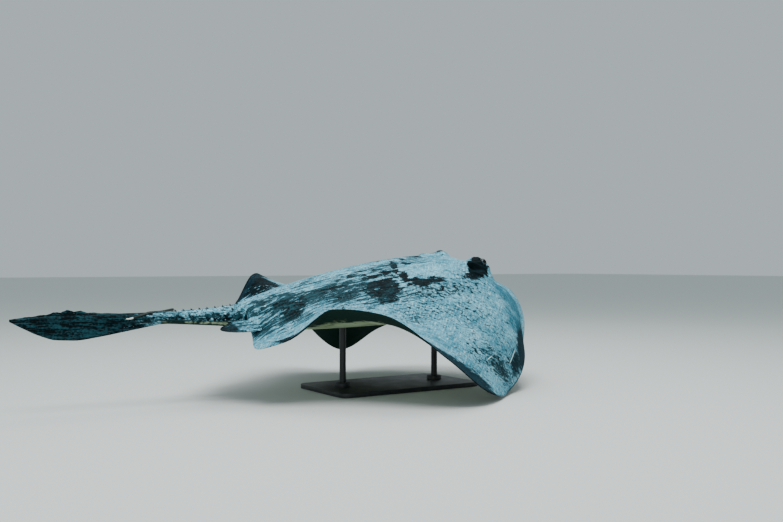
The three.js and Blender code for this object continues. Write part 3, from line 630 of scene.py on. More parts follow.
def skin_data():
    """The whole skin: the disc's two faces, the rim between them, the tail and the pelvic fins."""
    half, ring_count = half_turns()
    turns = np.concatenate([half, -half[-2:0:-1]])
    skin = Skin()
    top, top_points, top_flat = disc_grid(skin, turns, along(UPPER_RUNS, CLOSING_REACHES), 1, relief_above)
    low_reaches = along(UNDER_RUNS, CLOSING_REACHES)
    under, under_points, _ = disc_grid(skin, turns, low_reaches, -1, relief_below)
    columns, middle = tail_columns(turns, ring_count)
    count = len(turns)
    inside = set(columns[1:-1])
    rim = {}
    for i in range(count):
        if i in inside:
            continue
        centre = (top_points[i] + under_points[i]) / 2
        before, after = top_points[(i - 1) % count], top_points[(i + 1) % count]
        out = np.cross(after - before, top_points[i] - under_points[i])
        out = out / max(np.linalg.norm(out), 1e-9)
        rim[i] = skin.add(centre + out, top_flat[i], 0.5)
    for i in range(count):
        n = (i + 1) % count
        if i in rim and n in rim and not (i == columns[0] and n in inside):
            skin.quad(top[i], rim[i], rim[n], top[n])
            skin.quad(rim[i], under[i], under[n], rim[n])
    start = [top[c] for c in columns] + [rim[columns[-1]]]
    start += [under[c] for c in reversed(columns)] + [rim[columns[0]]]
    tail_mesh(skin, start, columns, middle)
    for side in (1, -1):
        pelvic_mesh(skin, side)
    return skin


# ---------------------------------------------------------------- what a user would change


def linear(colour):
    """An sRGB hex colour as Blender's linear red, green, blue and alpha."""
    parts = [int(colour[k : k + 2], 16) / 255 for k in (0, 2, 4)]
    return (*[c / 12.92 if c <= 0.04045 else ((c + 0.055) / 1.055) ** 2.4 for c in parts], 1.0)


def paint(name, colour, description):
    """A colour in the panel."""
    return bpy.props.FloatVectorProperty(
        name=name, description=description, default=linear(colour), size=4, min=0, max=1, subtype="COLOR"
    )


def size(name, millimetres, description):
    """A length in the panel."""
    return bpy.props.FloatProperty(
        name=name, description=description, default=millimetres * MM, min=0, unit="LENGTH"
    )


class RaySkinColours(bpy.types.PropertyGroup):
    """The pigments of the skin"""

    dust: paint("Dusting", "7bbfd4", "Pale dusting that covers most of the back")
    dust_shade: paint("Dusting in shade", "478ea5", "Dusting where it lies thin")
    dust_light: paint("Dusting, thickest", "c3e8f0", "Dusting where it lies thick")
    black: paint("Patches", "050f12", "Bare dark skin in the patches")
    slate: paint("Streaks", "1f4851", "Dark skin with a thin dusting over it")
    # the border colour also carries painted shade inside the front margins
    border: paint("Border", "0a1d26", "The dark border along the margins")
    # the teal also serves as painted shade over the outer front of each fin
    teal: paint("Front margin", "2a6e83", "Blotches inside the front margin")
    belly: paint("Belly", "adc0a0", "The cream of the underside")
    # the underside's dark outer part: partly its own dusky margin, partly painted shade
    dusky_and_shade: paint("Underside border", "162b26", "The dusky outer part of the underside")
    olive: paint("Tail blotches", "7e8f6b", "The row of blotches low on the tail's flank")


class RayEye(bpy.types.PropertyGroup):
    """The eyes"""

    radius: size("Radius", 14.7, "Radius of the eyeball")
    iris: paint("Iris", "2a424b", "The ring round the pupil")
    pupil: paint("Pupil", "03080a", "The pupil, and the dark round the ring")


class RaySting(bpy.types.PropertyGroup):
    """The sting and the thorns"""

    teeth: bpy.props.IntProperty(name="Teeth", description="Teeth down each edge", default=26, min=3)
    bone: paint("Sting", "d9e2d6", "The sting's hard dentine")
    sheath: paint("Sheath", "10211f", "The dark skin left round the sting's root")
    thorn: paint("Thorns", "172a2e", "The thorns' worn enamel")


class RayStand(bpy.types.PropertyGroup):
    """The display stand"""

    corner: size("Corner radius", 36, "Radius of the base plate's corners")
    rod: size("Rod radius", 11, "Radius of the two rods")
    collar: size("Collar radius", 26, "Radius of the collars at the rods' feet")
    enamel: paint("Enamel", "1b1f21", "The stand's powder coat")


class RayStage(bpy.types.PropertyGroup):
    """The floor, the lights and the camera"""

    floor: paint("Floor", "d4d9d6", "The matt floor")
    air: paint("Air", "c9d6da", "The soft light from all round")
    air_strength: bpy.props.FloatProperty(
        name="Air strength", description="How strong the soft light is", default=0.8, min=0
    )
    lamps: bpy.props.FloatProperty(
        name="Lamps", description="Factor on the power of the soft lamps", default=1.0, min=0
    )
    lens: bpy.props.FloatProperty(
        name="Lens", description="Focal length", default=41.38, min=1, unit="CAMERA"
    )


# ---------------------------------------------------------------- materials


def node(tree, kind, feeds=None, give=0, stops=(), **settings):
    """Adds one shader node and returns its output number give, or the node itself if it has none.

    feeds fills its inputs, by name or number, each with a value or with another node's output. stops are a
    colour ramp's places and colours, and settings are the node's own properties.
    """
    made = tree.nodes.new("ShaderNode" + kind)
    for name, value in settings.items():
        setattr(made, name, value)
    for k, (at, colour) in enumerate(stops):
        element = made.color_ramp.elements[k] if k < 2 else made.color_ramp.elements.new(at)
        element.position, element.color = at, colour
    for socket, value in (feeds or {}).items():
        if isinstance(value, bpy.types.NodeSocket):
            tree.links.new(value, made.inputs[socket])
        else:
            made.inputs[socket].default_value = value
    return made.outputs[give] if len(made.outputs) else made


def started(name):
    """A new material with an empty node tree."""
    material = bpy.data.materials.new(name)
    material.use_nodes = True
    material.node_tree.nodes.clear()
    return material, material.node_tree


def grain(tree, place, long, wide, turn, detail, rough):
    """Noise drawn out into marks of this length and width, in millimetres, at a turn in degrees."""
    laid = node(tree, "Mapping", {"Vector": place, "Rotation": (0, 0, math.radians(turn))})
    drawn = node(
        tree, "Mapping", {"Vector": laid, "Scale": (1 / (long * MM), 1 / (wide * MM), 1 / (wide * MM))}
    )
    return node(tree, "TexNoise", {"Vector": drawn, "Scale": 1.0, "Detail": detail, "Roughness": rough})


def rubbed_line(tree, place, start, end, width):
    """1 along a straight scratch between two flat places and 0 beside it. All in millimetres."""
    length = math.dist(start, end)
    turn = math.atan2(end[1] - start[1], end[0] - start[0])
    laid = node(
        tree,
        "Mapping",
        {"Vector": place, "Location": (start[0] * MM, start[1] * MM, 0), "Rotation": (0, 0, turn)},
        vector_type="TEXTURE",
    )
    along, across = (node(tree, "SeparateXYZ", {0: laid}, give) for give in (0, 1))
    across = node(tree, "Math", {0: across}, operation="ABSOLUTE")
    near = node(tree, "MapRange", {0: across, 1: width * MM, 2: 0.4 * width * MM})
    first = node(tree, "MapRange", {0: along, 1: 0.0, 2: 0.3 * length * MM})
    last = node(tree, "MapRange", {0: along, 1: length * MM, 2: 0.8 * length * MM})
    ends = node(tree, "Math", {0: first, 1: last}, operation="MULTIPLY")
    return node(tree, "Math", {0: near, 1: ends}, operation="MULTIPLY")


# The marks' grains: length and width in millimetres, turn in degrees, detail and roughness. The crossed
# scratches and the pepper of the dusting are as fine as still shows.
GRAINS = {
    "clouds": (130, 80, 0, 4, 0.6),
    "blotches": (44, 26, 0, 5, 0.6),
    "streaks": (62, 8, 3, 6, 0.72),
    "jags": (38, 12, 8, 6, 0.78),
    "flecks": (16, 10, 25, 4, 0.7),
    "scratch_one": (36, 5.5, 38, 4, 0.7),
    "scratch_two": (32, 5.0, -47, 4, 0.7),
    "pepper": (7, 5, 15, 3, 0.7),
    "denticles": (3.2, 3.2, 0, 2, 0.6),
}
# How each layer of the pattern shows: its grain, the mark that raises it and by how much, the raised levels
# at which it starts and is whole, and how strong it is then
LAYERS = {
    "thin": ("peppered", "fleck", 0.10, 1.05, 1.32, 0.8),
    # washed: the teal, which is partly painted shade over the outer front of each fin
    "washed": ("torn", "teal", 1.0, 0.25, 1.0, 0.9),
    "patches": ("ragged", "patch", 1.0, 0.48, 0.62, 1.0),
    "veins": ("streaks", "streak", 0.145, 0.60, 0.65, 0.97),
    "specks": ("flecks", "fleck", 0.13, 0.66, 0.71, 1.0),
    "frayed": ("fraying", "band", 1.0, 1.66, 2.14, 0.97),
    # dusky: the underside's dark outer part, partly its own dusky margin and partly painted shade
    "dusky": ("torn", "rim", 1.0, 0.30, 0.70, 1.0),
}


def wet_ray_skin(colours):
    """Ray skin under water: near-black pigment below a thin pale dusting of denticles, slime and silt.

    Water lies against it, so it has hardly any gloss. The dark shows through wherever the dusting is
    rubbed away: in ragged patches, in streaks along the body, in small flecks and in crossed scratches.
    """
    material, tree = started("wet_ray_skin")
    place = node(tree, "Attribute", give=1, attribute_name="place")
    marks = {name: node(tree, "Attribute", give=2, attribute_name=name) for name in MARKS}
    grains = {name: grain(tree, place, *values) for name, values in GRAINS.items()}
    scratches = {0: grains["scratch_one"], 1: grains["scratch_two"]}
    crossed = node(tree, "Math", scratches, operation="MAXIMUM")
    grains["peppered"] = node(tree, "Math", {0: crossed, 1: grains["pepper"]}, operation="ADD")
    torn = {0: grains["blotches"], 1: 2.2, 2: -1.1}
    grains["torn"] = node(tree, "Math", torn, operation="MULTIPLY_ADD")
    ragged = {0: grains["jags"], 1: 4.6, 2: -2.3}
    grains["ragged"] = node(tree, "Math", ragged, operation="MULTIPLY_ADD")
    fraying = {0: grains["jags"], 1: 2.0, 2: grains["scratch_one"]}
    grains["fraying"] = node(tree, "Math", fraying, operation="MULTIPLY_ADD")
    shown = {}
    for name, (kind, mark, factor, start, whole, most) in LAYERS.items():
        raised = {0: marks[mark], 1: factor, 2: grains[kind]}
        raised = node(tree, "Math", raised, operation="MULTIPLY_ADD")
        shown[name] = node(tree, "MapRange", {0: raised, 1: start, 2: whole, 3: 0.0, 4: most})

    # the dusting: shaded in clouds, thick or thin in the scratches, teal inside the front margin, and teal
    # as painted shade over the outer front of each fin
    cloudy = node(tree, "MapRange", {0: grains["clouds"], 1: 0.34, 2: 0.64})
    thick = node(tree, "Math", scratches, operation="MINIMUM")
    thick = node(tree, "MapRange", {0: thick, 1: 0.46, 2: 0.34, 3: 0.0, 4: 0.75})
    wash = node(tree, "Mix", {0: shown["thin"], 6: colours.teal, 7: colours.slate}, 2, data_type="RGBA")
    dust = colours.dust
    for amount, over in (
        (cloudy, colours.dust_shade),
        (thick, colours.dust_light),
        (shown["thin"], colours.slate),
        (shown["washed"], wash),
    ):
        dust = node(tree, "Mix", {0: amount, 6: dust, 7: over}, 2, data_type="RGBA")

    # the dark that shows through it, slaty where it is streaked
    bare = node(tree, "Math", {0: shown["patches"], 1: shown["veins"]}, operation="MAXIMUM")
    bare = node(tree, "Math", {0: bare, 1: shown["specks"]}, operation="MAXIMUM")
    slaty = node(tree, "Math", {0: grains["streaks"], 1: 2.0, 2: grains["pepper"]}, operation="MULTIPLY_ADD")
    slaty = node(tree, "MapRange", {0: slaty, 1: 1.42, 2: 1.84})
    thinly = node(tree, "MapRange", {0: marks["streak"], 2: 1.4, 3: 0.18, 4: 1.5})
    slaty = node(tree, "Math", {0: slaty, 1: thinly}, operation="MULTIPLY")
    dark = node(tree, "Mix", {0: slaty, 6: colours.black, 7: colours.slate}, 2, data_type="RGBA")

    # over both: a dark border with a torn inner edge, partly painted shade inside the front margins, a black
    # rim and the long pale scratches
    mottle = node(tree, "Math", {0: grains["scratch_two"], 1: grains["pepper"]}, operation="ADD")
    mottle = node(tree, "MapRange", {0: mottle, 1: 0.98, 2: 1.3, 3: 0.0, 4: 0.8})
    edge = node(tree, "Mix", {0: mottle, 6: colours.border, 7: colours.slate}, 2, data_type="RGBA")
    layers = [(bare, dark), (shown["frayed"], edge), (marks["line"], colours.black)]
    layers += [(rubbed_line(tree, place, *scratch), colours.dust_light) for scratch in SCRATCHES]
    back = dust
    for amount, over in layers:
        back = node(tree, "Mix", {0: amount, 6: back, 7: over}, 2, data_type="RGBA")

    # below: cream, darkening towards the margins, partly the underside's own dusky colour and partly painted
    # shade, with a row of olive blotches low on the tail
    creamy = node(tree, "Mix", {0: cloudy, 6: colours.belly, 7: colours.olive}, 2, data_type="RGBA")
    under = node(tree, "Mix", {0: shown["dusky"], 6: creamy, 7: colours.dusky_and_shade}, 2, data_type="RGBA")
    side = node(tree, "MapRange", {0: marks["upper"], 1: 0.36, 2: 0.5})
    colour = node(tree, "Mix", {0: side, 6: under, 7: back}, 2, data_type="RGBA")

    height = node(tree, "Math", {0: grains["denticles"], 1: 0.5, 2: thick}, operation="MULTIPLY_ADD")
    worn = node(tree, "Math", {0: bare, 1: -0.5, 2: height}, operation="MULTIPLY_ADD")
    relief = node(tree, "Bump", {"Height": worn, "Strength": 0.45, "Distance": 1.0 * MM})
    roughness = node(tree, "MapRange", {0: bare, 3: 0.8, 4: 0.6})
    feeds = {"Base Color": colour, "Roughness": roughness, "Normal": relief, "Specular IOR Level": 0.06}
    surface = node(tree, "BsdfPrincipled", {**feeds, "IOR": 1.38})
    node(tree, "OutputMaterial", {"Surface": surface})
    return material


def glassy_eye(colours):
    """A ray's eye: a black pupil with a dull ring round it, under a wet cornea that takes a highlight."""
    material, tree = started("glassy_eye")
    ring = node(tree, "Attribute", give=2, attribute_name="ring")
    place = node(tree, "TexCoord", give=3)
    fibres = node(tree, "TexNoise", {"Vector": place, "Scale": 1 / (2.5 * MM), "Detail": 4.0})
    frayed = node(tree, "Math", {0: fibres, 1: 0.16, 2: ring}, operation="MULTIPLY_ADD")
    stops = [
        (0.0, colours.pupil),
        (0.46, colours.pupil),
        (0.54, colours.iris),
        (0.66, colours.iris),
        (0.76, colours.pupil),
        (1.0, colours.pupil),
    ]
    colour = node(tree, "ValToRGB", {"Fac": frayed}, stops=stops)
    relief = node(tree, "Bump", {"Height": fibres, "Strength": 0.08, "Distance": 0.4 * MM})
    feeds = {"Base Color": colour, "Roughness": 0.25, "Normal": relief, "Coat Weight": 0.12, "IOR": 1.38}
    surface = node(tree, "BsdfPrincipled", {**feeds, "Coat Roughness": 0.1, "Specular IOR Level": 0.2})
    node(tree, "OutputMaterial", {"Surface": surface})
    return material


def grown_dentine(name, hard, stained):
    """Dentine under worn enamel, as teeth are: satin, grooved along its length and stained at its root."""
    material, tree = started(name)
    root = node(tree, "Attribute", give=2, attribute_name="root")
    place = node(tree, "TexCoord", give=3)
    long = node(tree, "Mapping", {"Vector": place, "Scale": (1 / (18 * MM), 1 / (1.6 * MM), 1 / (1.6 * MM))})
    grooves = node(tree, "TexNoise", {"Vector": long, "Scale": 1.0, "Detail": 4.0})
    stain = node(tree, "Math", {0: grooves, 1: 0.5, 2: root}, operation="MULTIPLY_ADD")
    stain = node(tree, "MapRange", {0: stain, 1: 0.55, 2: 0.95})
    colour = node(tree, "Mix", {0: stain, 6: hard, 7: stained}, 2, data_type="RGBA")
    relief = node(tree, "Bump", {"Height": grooves, "Strength": 0.35, "Distance": 0.4 * MM})
    roughness = node(tree, "MapRange", {0: grooves, 3: 0.38, 4: 0.58})
    feeds = {"Base Color": colour, "Roughness": roughness, "Normal": relief, "Specular IOR Level": 0.2}
    surface = node(tree, "BsdfPrincipled", feeds)
    node(tree, "OutputMaterial", {"Surface": surface})
    return material


def powder_coat(colours):
    """Black powder coat on steel, baked on: an even satin black with a fine orange peel, 1.5 mm across here
    so that it shows, and a few paler rubs."""
    material, tree = started("powder_coated_steel")
    place = node(tree, "TexCoord", give=3)
    peel = node(tree, "TexNoise", {"Vector": place, "Scale": 1 / (1.5 * MM), "Detail": 2.0})
    rubs = node(tree, "TexNoise", {"Vector": place, "Scale": 1 / (60 * MM), "Detail": 6.0, "Roughness": 0.7})
    rubbed = node(tree, "MapRange", {0: rubs, 1: 0.55, 2: 0.75, 3: 0.0, 4: 0.35})
    colour = node(tree, "Mix", {0: rubbed, 6: colours.enamel, 7: linear("3b4144")}, 2, data_type="RGBA")
    relief = node(tree, "Bump", {"Height": peel, "Strength": 0.12, "Distance": 0.3 * MM})
    roughness = node(tree, "MapRange", {0: rubs, 1: 0.3, 2: 0.7, 3: 0.42, 4: 0.58})
    surface = node(tree, "BsdfPrincipled", {"Base Color": colour, "Roughness": roughness, "Normal": relief})
    node(tree, "OutputMaterial", {"Surface": surface})
    return material


def matt_floor(colours):
    """Painted studio floor: pale, even and dead matt."""
    material, tree = started("matt_painted_floor")
    surface = node(tree, "BsdfPrincipled", {"Base Color": colours.floor, "Roughness": 0.92})
    node(tree, "OutputMaterial", {"Surface": surface})
    return material


# ---------------------------------------------------------------- where the markings lie

MARKS = ("patch", "streak", "fleck", "teal", "band", "line", "rim", "upper")


def both(*places):
    """These ovals of the left side, and the same on the right."""
    return (*places, *[(x, -y, long, wide, -turn, strength) for x, y, long, wide, turn, strength in places])


# Ovals on the flat disc, in millimetres: x, y, half length, half width, turn in degrees, strength. y is
# positive on the left. The animal's two sides carry like markings that don't match exactly.
PATCHES = (
    # the arm of the saddle that runs forward, on the right
    (66, -183, 46, 19, 0, 1.1), (8, -182, 40, 28, 0, 1.2), (-26, -148, 44, 20, 72, 1.2),
    # the saddle itself, with the arm that climbs to the spine
    (-124, -146, 66, 26, 0, 1.45), (-122, -186, 60, 26, 0, 1.4), (-166, -168, 22, 60, 0, 1.3),
    (-84, -168, 20, 52, -8, 1.2), (-140, -222, 48, 17, 6, 1.1), (-186, -150, 18, 30, 0, 0.9),
    (-72, -92, 24, 22, 0, 1.1), (-126, -102, 54, 13, 0, 1.1), (-10, -55, 62, 15, 65, 1.15),
    (36, -58, 18, 22, 0, 1.0), (62, -64, 22, 9, 0, 0.9), (-36, -104, 15, 26, 60, 1.0),
    (120, 18, 34, 44, 0, 0.9), (58, 6, 14, 40, 0, 0.85), (-140, -44, 52, 11, 0, 0.95),
    (-96, -58, 13, 20, 0, 0.9), (-184, -66, 34, 14, 0, 0.95), (-60, -128, 14, 22, 0, 0.85),
    (-240, -108, 40, 16, 0, 0.7), (-150, -80, 20, 12, 0, 0.8), (-300, -100, 60, 16, 0, 0.75),
    (-262, -148, 48, 14, 0, 0.65), (-372, -96, 54, 14, 0, 0.65),
    # the saddle on the left
    (-96, 158, 62, 46, -8, 1.3), (-20, 142, 46, 22, 60, 1.15), (52, 176, 58, 20, -6, 1.1),
    (-60, 92, 56, 14, -14, 1.0), (-20, 60, 44, 12, -70, 1.0), (-170, 120, 50, 22, -10, 0.95),
    (-150, 210, 48, 20, 8, 0.9),
    # the dark blotch on each rear lobe
    (-438, -132, 38, 38, 25, 1.25), (-408, -118, 34, 20, 10, 1.0), (-456, -82, 46, 22, 0, 0.85),
    (-445, 130, 42, 40, -25, 1.25), (-470, 84, 46, 22, 0, 0.85), (-512, -240, 44, 13, -32, 0.9),
    # round each eye and spiracle
    *both((276, 138, 66, 26, -37, 2.0), (214, 176, 26, 16, -30, 0.9)), (322, 108, 24, 17, -40, 1.5),
    # the raised part of the left fin's rear margin
    (-345, 318, 104, 72, -38, 1.3), (-372, 262, 64, 44, -30, 1.1),
)
STREAKS = (
    (-350, -102, 160, 36, 0, 1.6), (-255, -148, 90, 44, 0, 1.4), (-235, -110, 80, 64, 0, 1.15),
    (-490, -52, 90, 30, 0, 1.3), (-420, -78, 90, 30, 0, 1.2), (-440, -150, 90, 60, 0, 0.9),
    (-180, -205, 110, 44, 10, 0.9), (-530, -126, 54, 46, 10, 1.3), (80, -50, 60, 40, 0, 0.8),
    (-60, -50, 110, 40, 0, 0.9), (-60, -225, 110, 26, 4, 0.7), (-330, -30, 190, 34, 0, 0.7),
    (-350, 104, 160, 36, 0, 1.55), (-250, 150, 90, 44, 0, 1.3), (-490, 56, 90, 30, 0, 1.2),
    (-440, 150, 90, 60, 0, 0.7), (-530, 126, 52, 42, -10, 0.8), (-180, 205, 110, 40, -10, 0.7),
    (0, 60, 150, 50, 0, 0.7), (-330, 30, 190, 34, 0, 0.5), *both((160, 500, 110, 44, 50, 0.9)),
)
FLECKS = (
    *both(
        (60, 232, 200, 42, 0, 1.25), (-60, 300, 170, 66, 0, 0.9), (100, 320, 170, 100, 0, 0.7),
        (150, 500, 150, 54, 0, 1.3), (40, 480, 60, 60, 0, 1.0), (200, 190, 50, 50, 0, 1.1),
    ),
    (-130, -335, 70, 34, 0, 1.2), (250, -470, 70, 40, 0, 1.1), (-300, -210, 160, 40, 20, 0.6),
)
# Teal washes inside the front margins and on the rear lobes; the broad pair at x 230 is painted shade over
# the outer front of each fin
TEAL_WASHES_AND_SHADE = (
    (410, -190, 66, 110, -12, 1.15), (366, -300, 60, 70, -20, 1.05), (334, -215, 56, 84, 0, 1.0),
    (316, -300, 46, 70, 0, 0.85), (-110, -440, 120, 90, -30, 0.35), (-300, -330, 90, 40, -45, 0.7),
    (404, 196, 52, 96, 12, 0.95), (372, 300, 46, 60, 20, 0.9), (460, 0, 40, 120, 0, 0.7),
    *both((230, 420, 120, 90, 0, 0.5), (-530, 128, 44, 44, 0, 0.8)),
)
# Dark parts of the border that are more than a rim, inside the front margins near the tips: partly the dark
# border and partly painted shade where the margin turns away from the light
DARK_MARGINS_AND_SHADE = (
    (380, -384, 56, 96, -28, 1.35), (300, -460, 42, 60, -40, 0.9), (190, -516, 90, 30, -14, 0.45),
    (424, -306, 36, 56, -24, 0.8),
    (372, 390, 46, 84, 28, 0.95), (300, 456, 40, 60, 40, 0.7), (190, 516, 90, 30, 14, 0.45),
)
# The rear border's width, in millimetres, against how far to the side it lies
BORDER = ((0, 10), (230, 16), (340, 34), (470, 60), (560, 74), (620, 76))
EDGE_LINE = 5  # the black rim's width
PALE_TIP = (150, 592, 150, 34, 14, 1.0)  # on both sides
SCRATCHES = (((306, -404), (240, -478), 2.8), ((128, -468), (84, -492), 1.8))  # from, to and width
BLADE_DARKENS = (200, 400)  # the tail turns dark between these distances from its root
CREAM_ENDS = (230, 300)  # and its cream underside ends between these
BEAD, BEAD_SWAY = 17, 31  # the tail's olive blotches: how far apart, and the wave that makes them uneven
border = through(BORDER)


def ovals(places, x, y, sharp=1.2):
    """The strongest of these ovals at each point."""
    strongest = np.zeros(len(x))
    for at_x, at_y, long, wide, turn, strength in places:
        strongest = np.maximum(strongest, strength * dent(x, y, (at_x, at_y), (long, wide), turn, sharp))
    return strongest


def markings(flat, upper, tail):
    """The strength of each mark at each point, for the material to break up with its grain."""
    x, y, edge = flat[:, 0], flat[:, 1], flat[:, 2]
    blade, pelvic = smooth(*BLADE_DARKENS, tail), tail < 0
    wide = border(np.abs(y))
    band = (1 - smooth(0.45 * wide, 1.3 * wide, edge)) * (1 - smooth(-10, 120, x)) * smooth(-560, -470, x)
    # inside the front margins the band is partly painted shade
    band = np.maximum(band, ovals(DARK_MARGINS_AND_SHADE, x, y))
    tip = ovals([PALE_TIP], x, np.abs(y))
    band = band * (1 - tip)
    line = (1 - smooth(EDGE_LINE * 0.4, EDGE_LINE, edge)) * smooth(-552, -520, x) * (1 - 0.8 * tip)
    flank = np.exp(-(((upper - 0.58) / 0.2) ** 2)) * (1 - blade)
    low = (1 - smooth(0.30, 0.46, upper)) * smooth(0.06, 0.2, upper) * (1 - blade)
    beads = 0.5 + 0.5 * np.cos(tail / BEAD * 2 * np.pi + 2.2 * np.sin(tail / BEAD_SWAY))
    on_tail = {
        "patch": np.maximum(blade * 1.25, 0.3 * flank),
        "streak": 0.35 + 0.55 * flank + 1.1 * blade,
        "fleck": 0.7 + 1.1 * flank,
        **dict.fromkeys(("teal", "band", "line"), np.zeros(len(x))),
        "rim": 1.15 - low * (0.5 + 0.2 * beads),
        "upper": np.maximum(upper, smooth(*CREAM_ENDS, tail)),
    }
    on_disc = {
        "patch": np.where(pelvic, 0.95 * (1 - smooth(-622, -590, x)), ovals(PATCHES, x, y, 1.4)),
        "streak": np.where(pelvic, 0.75, ovals(STREAKS, x, y) + 0.14),
        "fleck": np.where(pelvic, 0.9, ovals(FLECKS, x, y, 1.0) + 0.25) * (1 - 0.7 * tip),
        "teal": np.where(pelvic, 0.0, ovals(TEAL_WASHES_AND_SHADE, x, y, 1.1)),
        "band": np.where(pelvic, 0.0, band),
        "line": line,
        # the underside darkens over its outer 230 mm: partly its own dusky margin, partly painted shade
        "rim": np.where(pelvic, 0.8, 1.3 - 1.3 * smooth(50, 230, edge)),
        "upper": upper,
    }
    return {name: np.where(tail > 0, on_tail[name], on_disc[name]) for name in MARKS}


# ---------------------------------------------------------------- shaping by hand


def facing_out():
    """Turns the faces of the active object outward, and leaves it in object mode."""
    if bpy.context.object.mode != "EDIT":
        bpy.ops.object.mode_set(mode="EDIT")
    bpy.ops.mesh.select_all(action="SELECT")
    bpy.ops.mesh.normals_make_consistent(inside=False)
    bpy.ops.object.mode_set(mode="OBJECT")


def fresh():
    """Nothing selected, and back in object mode."""
    if bpy.context.object and bpy.context.object.mode != "OBJECT":
        bpy.ops.object.mode_set(mode="OBJECT")
    bpy.ops.object.select_all(action="DESELECT")


def named(name):
    """The object just added, renamed, with its place and size put into its mesh."""
    piece = bpy.context.object
    piece.name = piece.data.name = name
    bpy.ops.object.transform_apply(location=True, rotation=True, scale=True)
    return piece


def pick(piece, kind, wanted):
    """In edit mode, selects the vertices, edges or faces that wanted(element) holds for."""
    bpy.context.view_layer.objects.active = piece
    if piece.mode != "EDIT":
        bpy.ops.object.mode_set(mode="EDIT")
    bpy.ops.mesh.select_mode(type={"verts": "VERT", "edges": "EDGE", "faces": "FACE"}[kind])
    bpy.ops.mesh.select_all(action="DESELECT")
    mesh = bmesh.from_edit_mesh(piece.data)
    found = 0
    for element in getattr(mesh, kind):
        if wanted(element):
            element.select_set(True)
            found += 1
    if not found:
        raise RuntimeError(f"nothing to shape on {piece.name}")
    bmesh.update_edit_mesh(piece.data)


def done(piece, material, replaced, smooth_angle=35):
    """Ends a piece: shading, finish, body, and the CAD nodes it stands for."""
    fresh()
    piece.select_set(True)
    bpy.context.view_layer.objects.active = piece
    bpy.ops.object.shade_smooth_by_angle(angle=math.radians(smooth_angle))
    piece.data.materials.clear()
    piece.data.materials.append(material)
    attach(piece, "root")
    if replaced:
        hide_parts(*replaced)
    fresh()
    return piece


# ---------------------------------------------------------------- the pieces

SKIN_NODES = [
    "head", "snout", "trunk", "tail_root", "tail_base", "tail_rear", "tail_fold",
    "pelvic_fin_left", "pelvic_fin_right",
    *[f"pectoral_fin_{side}_{third}" for side in ("left", "right") for third in ("front", "middle", "rear")],
]


class RAY_OT_skin(bpy.types.Operator):
    """Builds the ray's skin, from the snout to the tip of the tail, as one closed mesh with its markings"""

    bl_idname = "ray.skin"
    bl_label = "Skin"

    def execute(self, context):
        fresh()
        skin = skin_data()
        mesh = bpy.data.meshes.new("ray_skin")
        points = np.array([[float(c) for c in point] for point in skin.points])
        mesh.from_pydata(posed(points).tolist(), [], skin.faces)
        if mesh.validate():
            raise RuntimeError("the skin has faces that Blender can't use")
        gathered = (skin.flat, skin.upper, skin.tail, skin.place)
        flat, upper, tail, place = (np.array(values, float) for values in gathered)
        vectors = mesh.attributes.new("place", "FLOAT_VECTOR", "POINT")
        vectors.data.foreach_set("vector", (place * MM).astype(np.float32).ravel())
        for name, values in markings(flat, upper, tail).items():
            mesh.attributes.new(name, "FLOAT", "POINT").data.foreach_set("value", values.astype(np.float32))
        piece = bpy.data.objects.new("ray_skin", mesh)
        context.scene.collection.objects.link(piece)
        done(piece, wet_ray_skin(context.scene.ray_skin_colours), SKIN_NODES, 180)
        return {"FINISHED"}


# The way an eye looks, in the ray's own frame: ahead, to the side and up
GAZE = (0.08, 0.86, 0.5)
CORNEA = 0.86  # cosine of the cornea's half angle
PROUD = 0.6  # how far it stands out, in millimetres
RING_ENDS = 75  # degrees from the middle of the pupil


class RAY_OT_eyes(bpy.types.Operator):
    """Adds the two eyeballs in their sockets"""

    bl_idname = "ray.eyes"
    bl_label = "Eyes"

    def execute(self, context):
        settings = context.scene.ray_eye
        material = glassy_eye(settings)
        for side, sign in (("left", 1), ("right", -1)):
            low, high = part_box(f"eye_{side}")
            centre = (low + high) / 2
            gaze = (POSE.to_3x3() @ Vector((GAZE[0], sign * GAZE[1], GAZE[2]))).normalized()
            fresh()
            bpy.ops.mesh.primitive_uv_sphere_add(segments=40, ring_count=28, radius=settings.radius)
            turn = gaze.to_track_quat("Z", "Y").to_matrix().to_4x4()
            bpy.context.object.matrix_world = Matrix.Translation(centre) @ turn
            piece = named(f"eyeball_{side}")
            # the cornea stands a little proud of the ball
            pick(piece, "verts", lambda v: (v.co - centre).normalized().dot(gaze) > CORNEA)
            bpy.ops.transform.translate(value=gaze * PROUD * MM)
            bpy.ops.object.mode_set(mode="OBJECT")
            away = [(v.co - centre).angle(gaze) / math.radians(RING_ENDS) for v in piece.data.vertices]
            layer = piece.data.attributes.new("ring", "FLOAT", "POINT")
            layer.data.foreach_set("value", [min(1.0, part) for part in away])
            done(piece, material, [f"eye_{side}"], 80)
        return {"FINISHED"}


STING_FROM, STING_LENGTH, STING_TIP_SIDE, STING_LIFT = 222, 146, 4, 0.4
STING_HALF_WIDTH, STING_NARROWING, STING_NARROWING_POWER, STING_HOLLOW = 5, 0.85, 3, 60
STING_THICK = (8, 2.4)  # at its root and beyond its first third
TOOTH = 1.5  # how far a tooth stands out
RINGS_A_TOOTH = 4
BARE_POINT = (0.79, 0.9)  # beyond this part of its length the sting has lost its sheath
STING_SIDES = 16


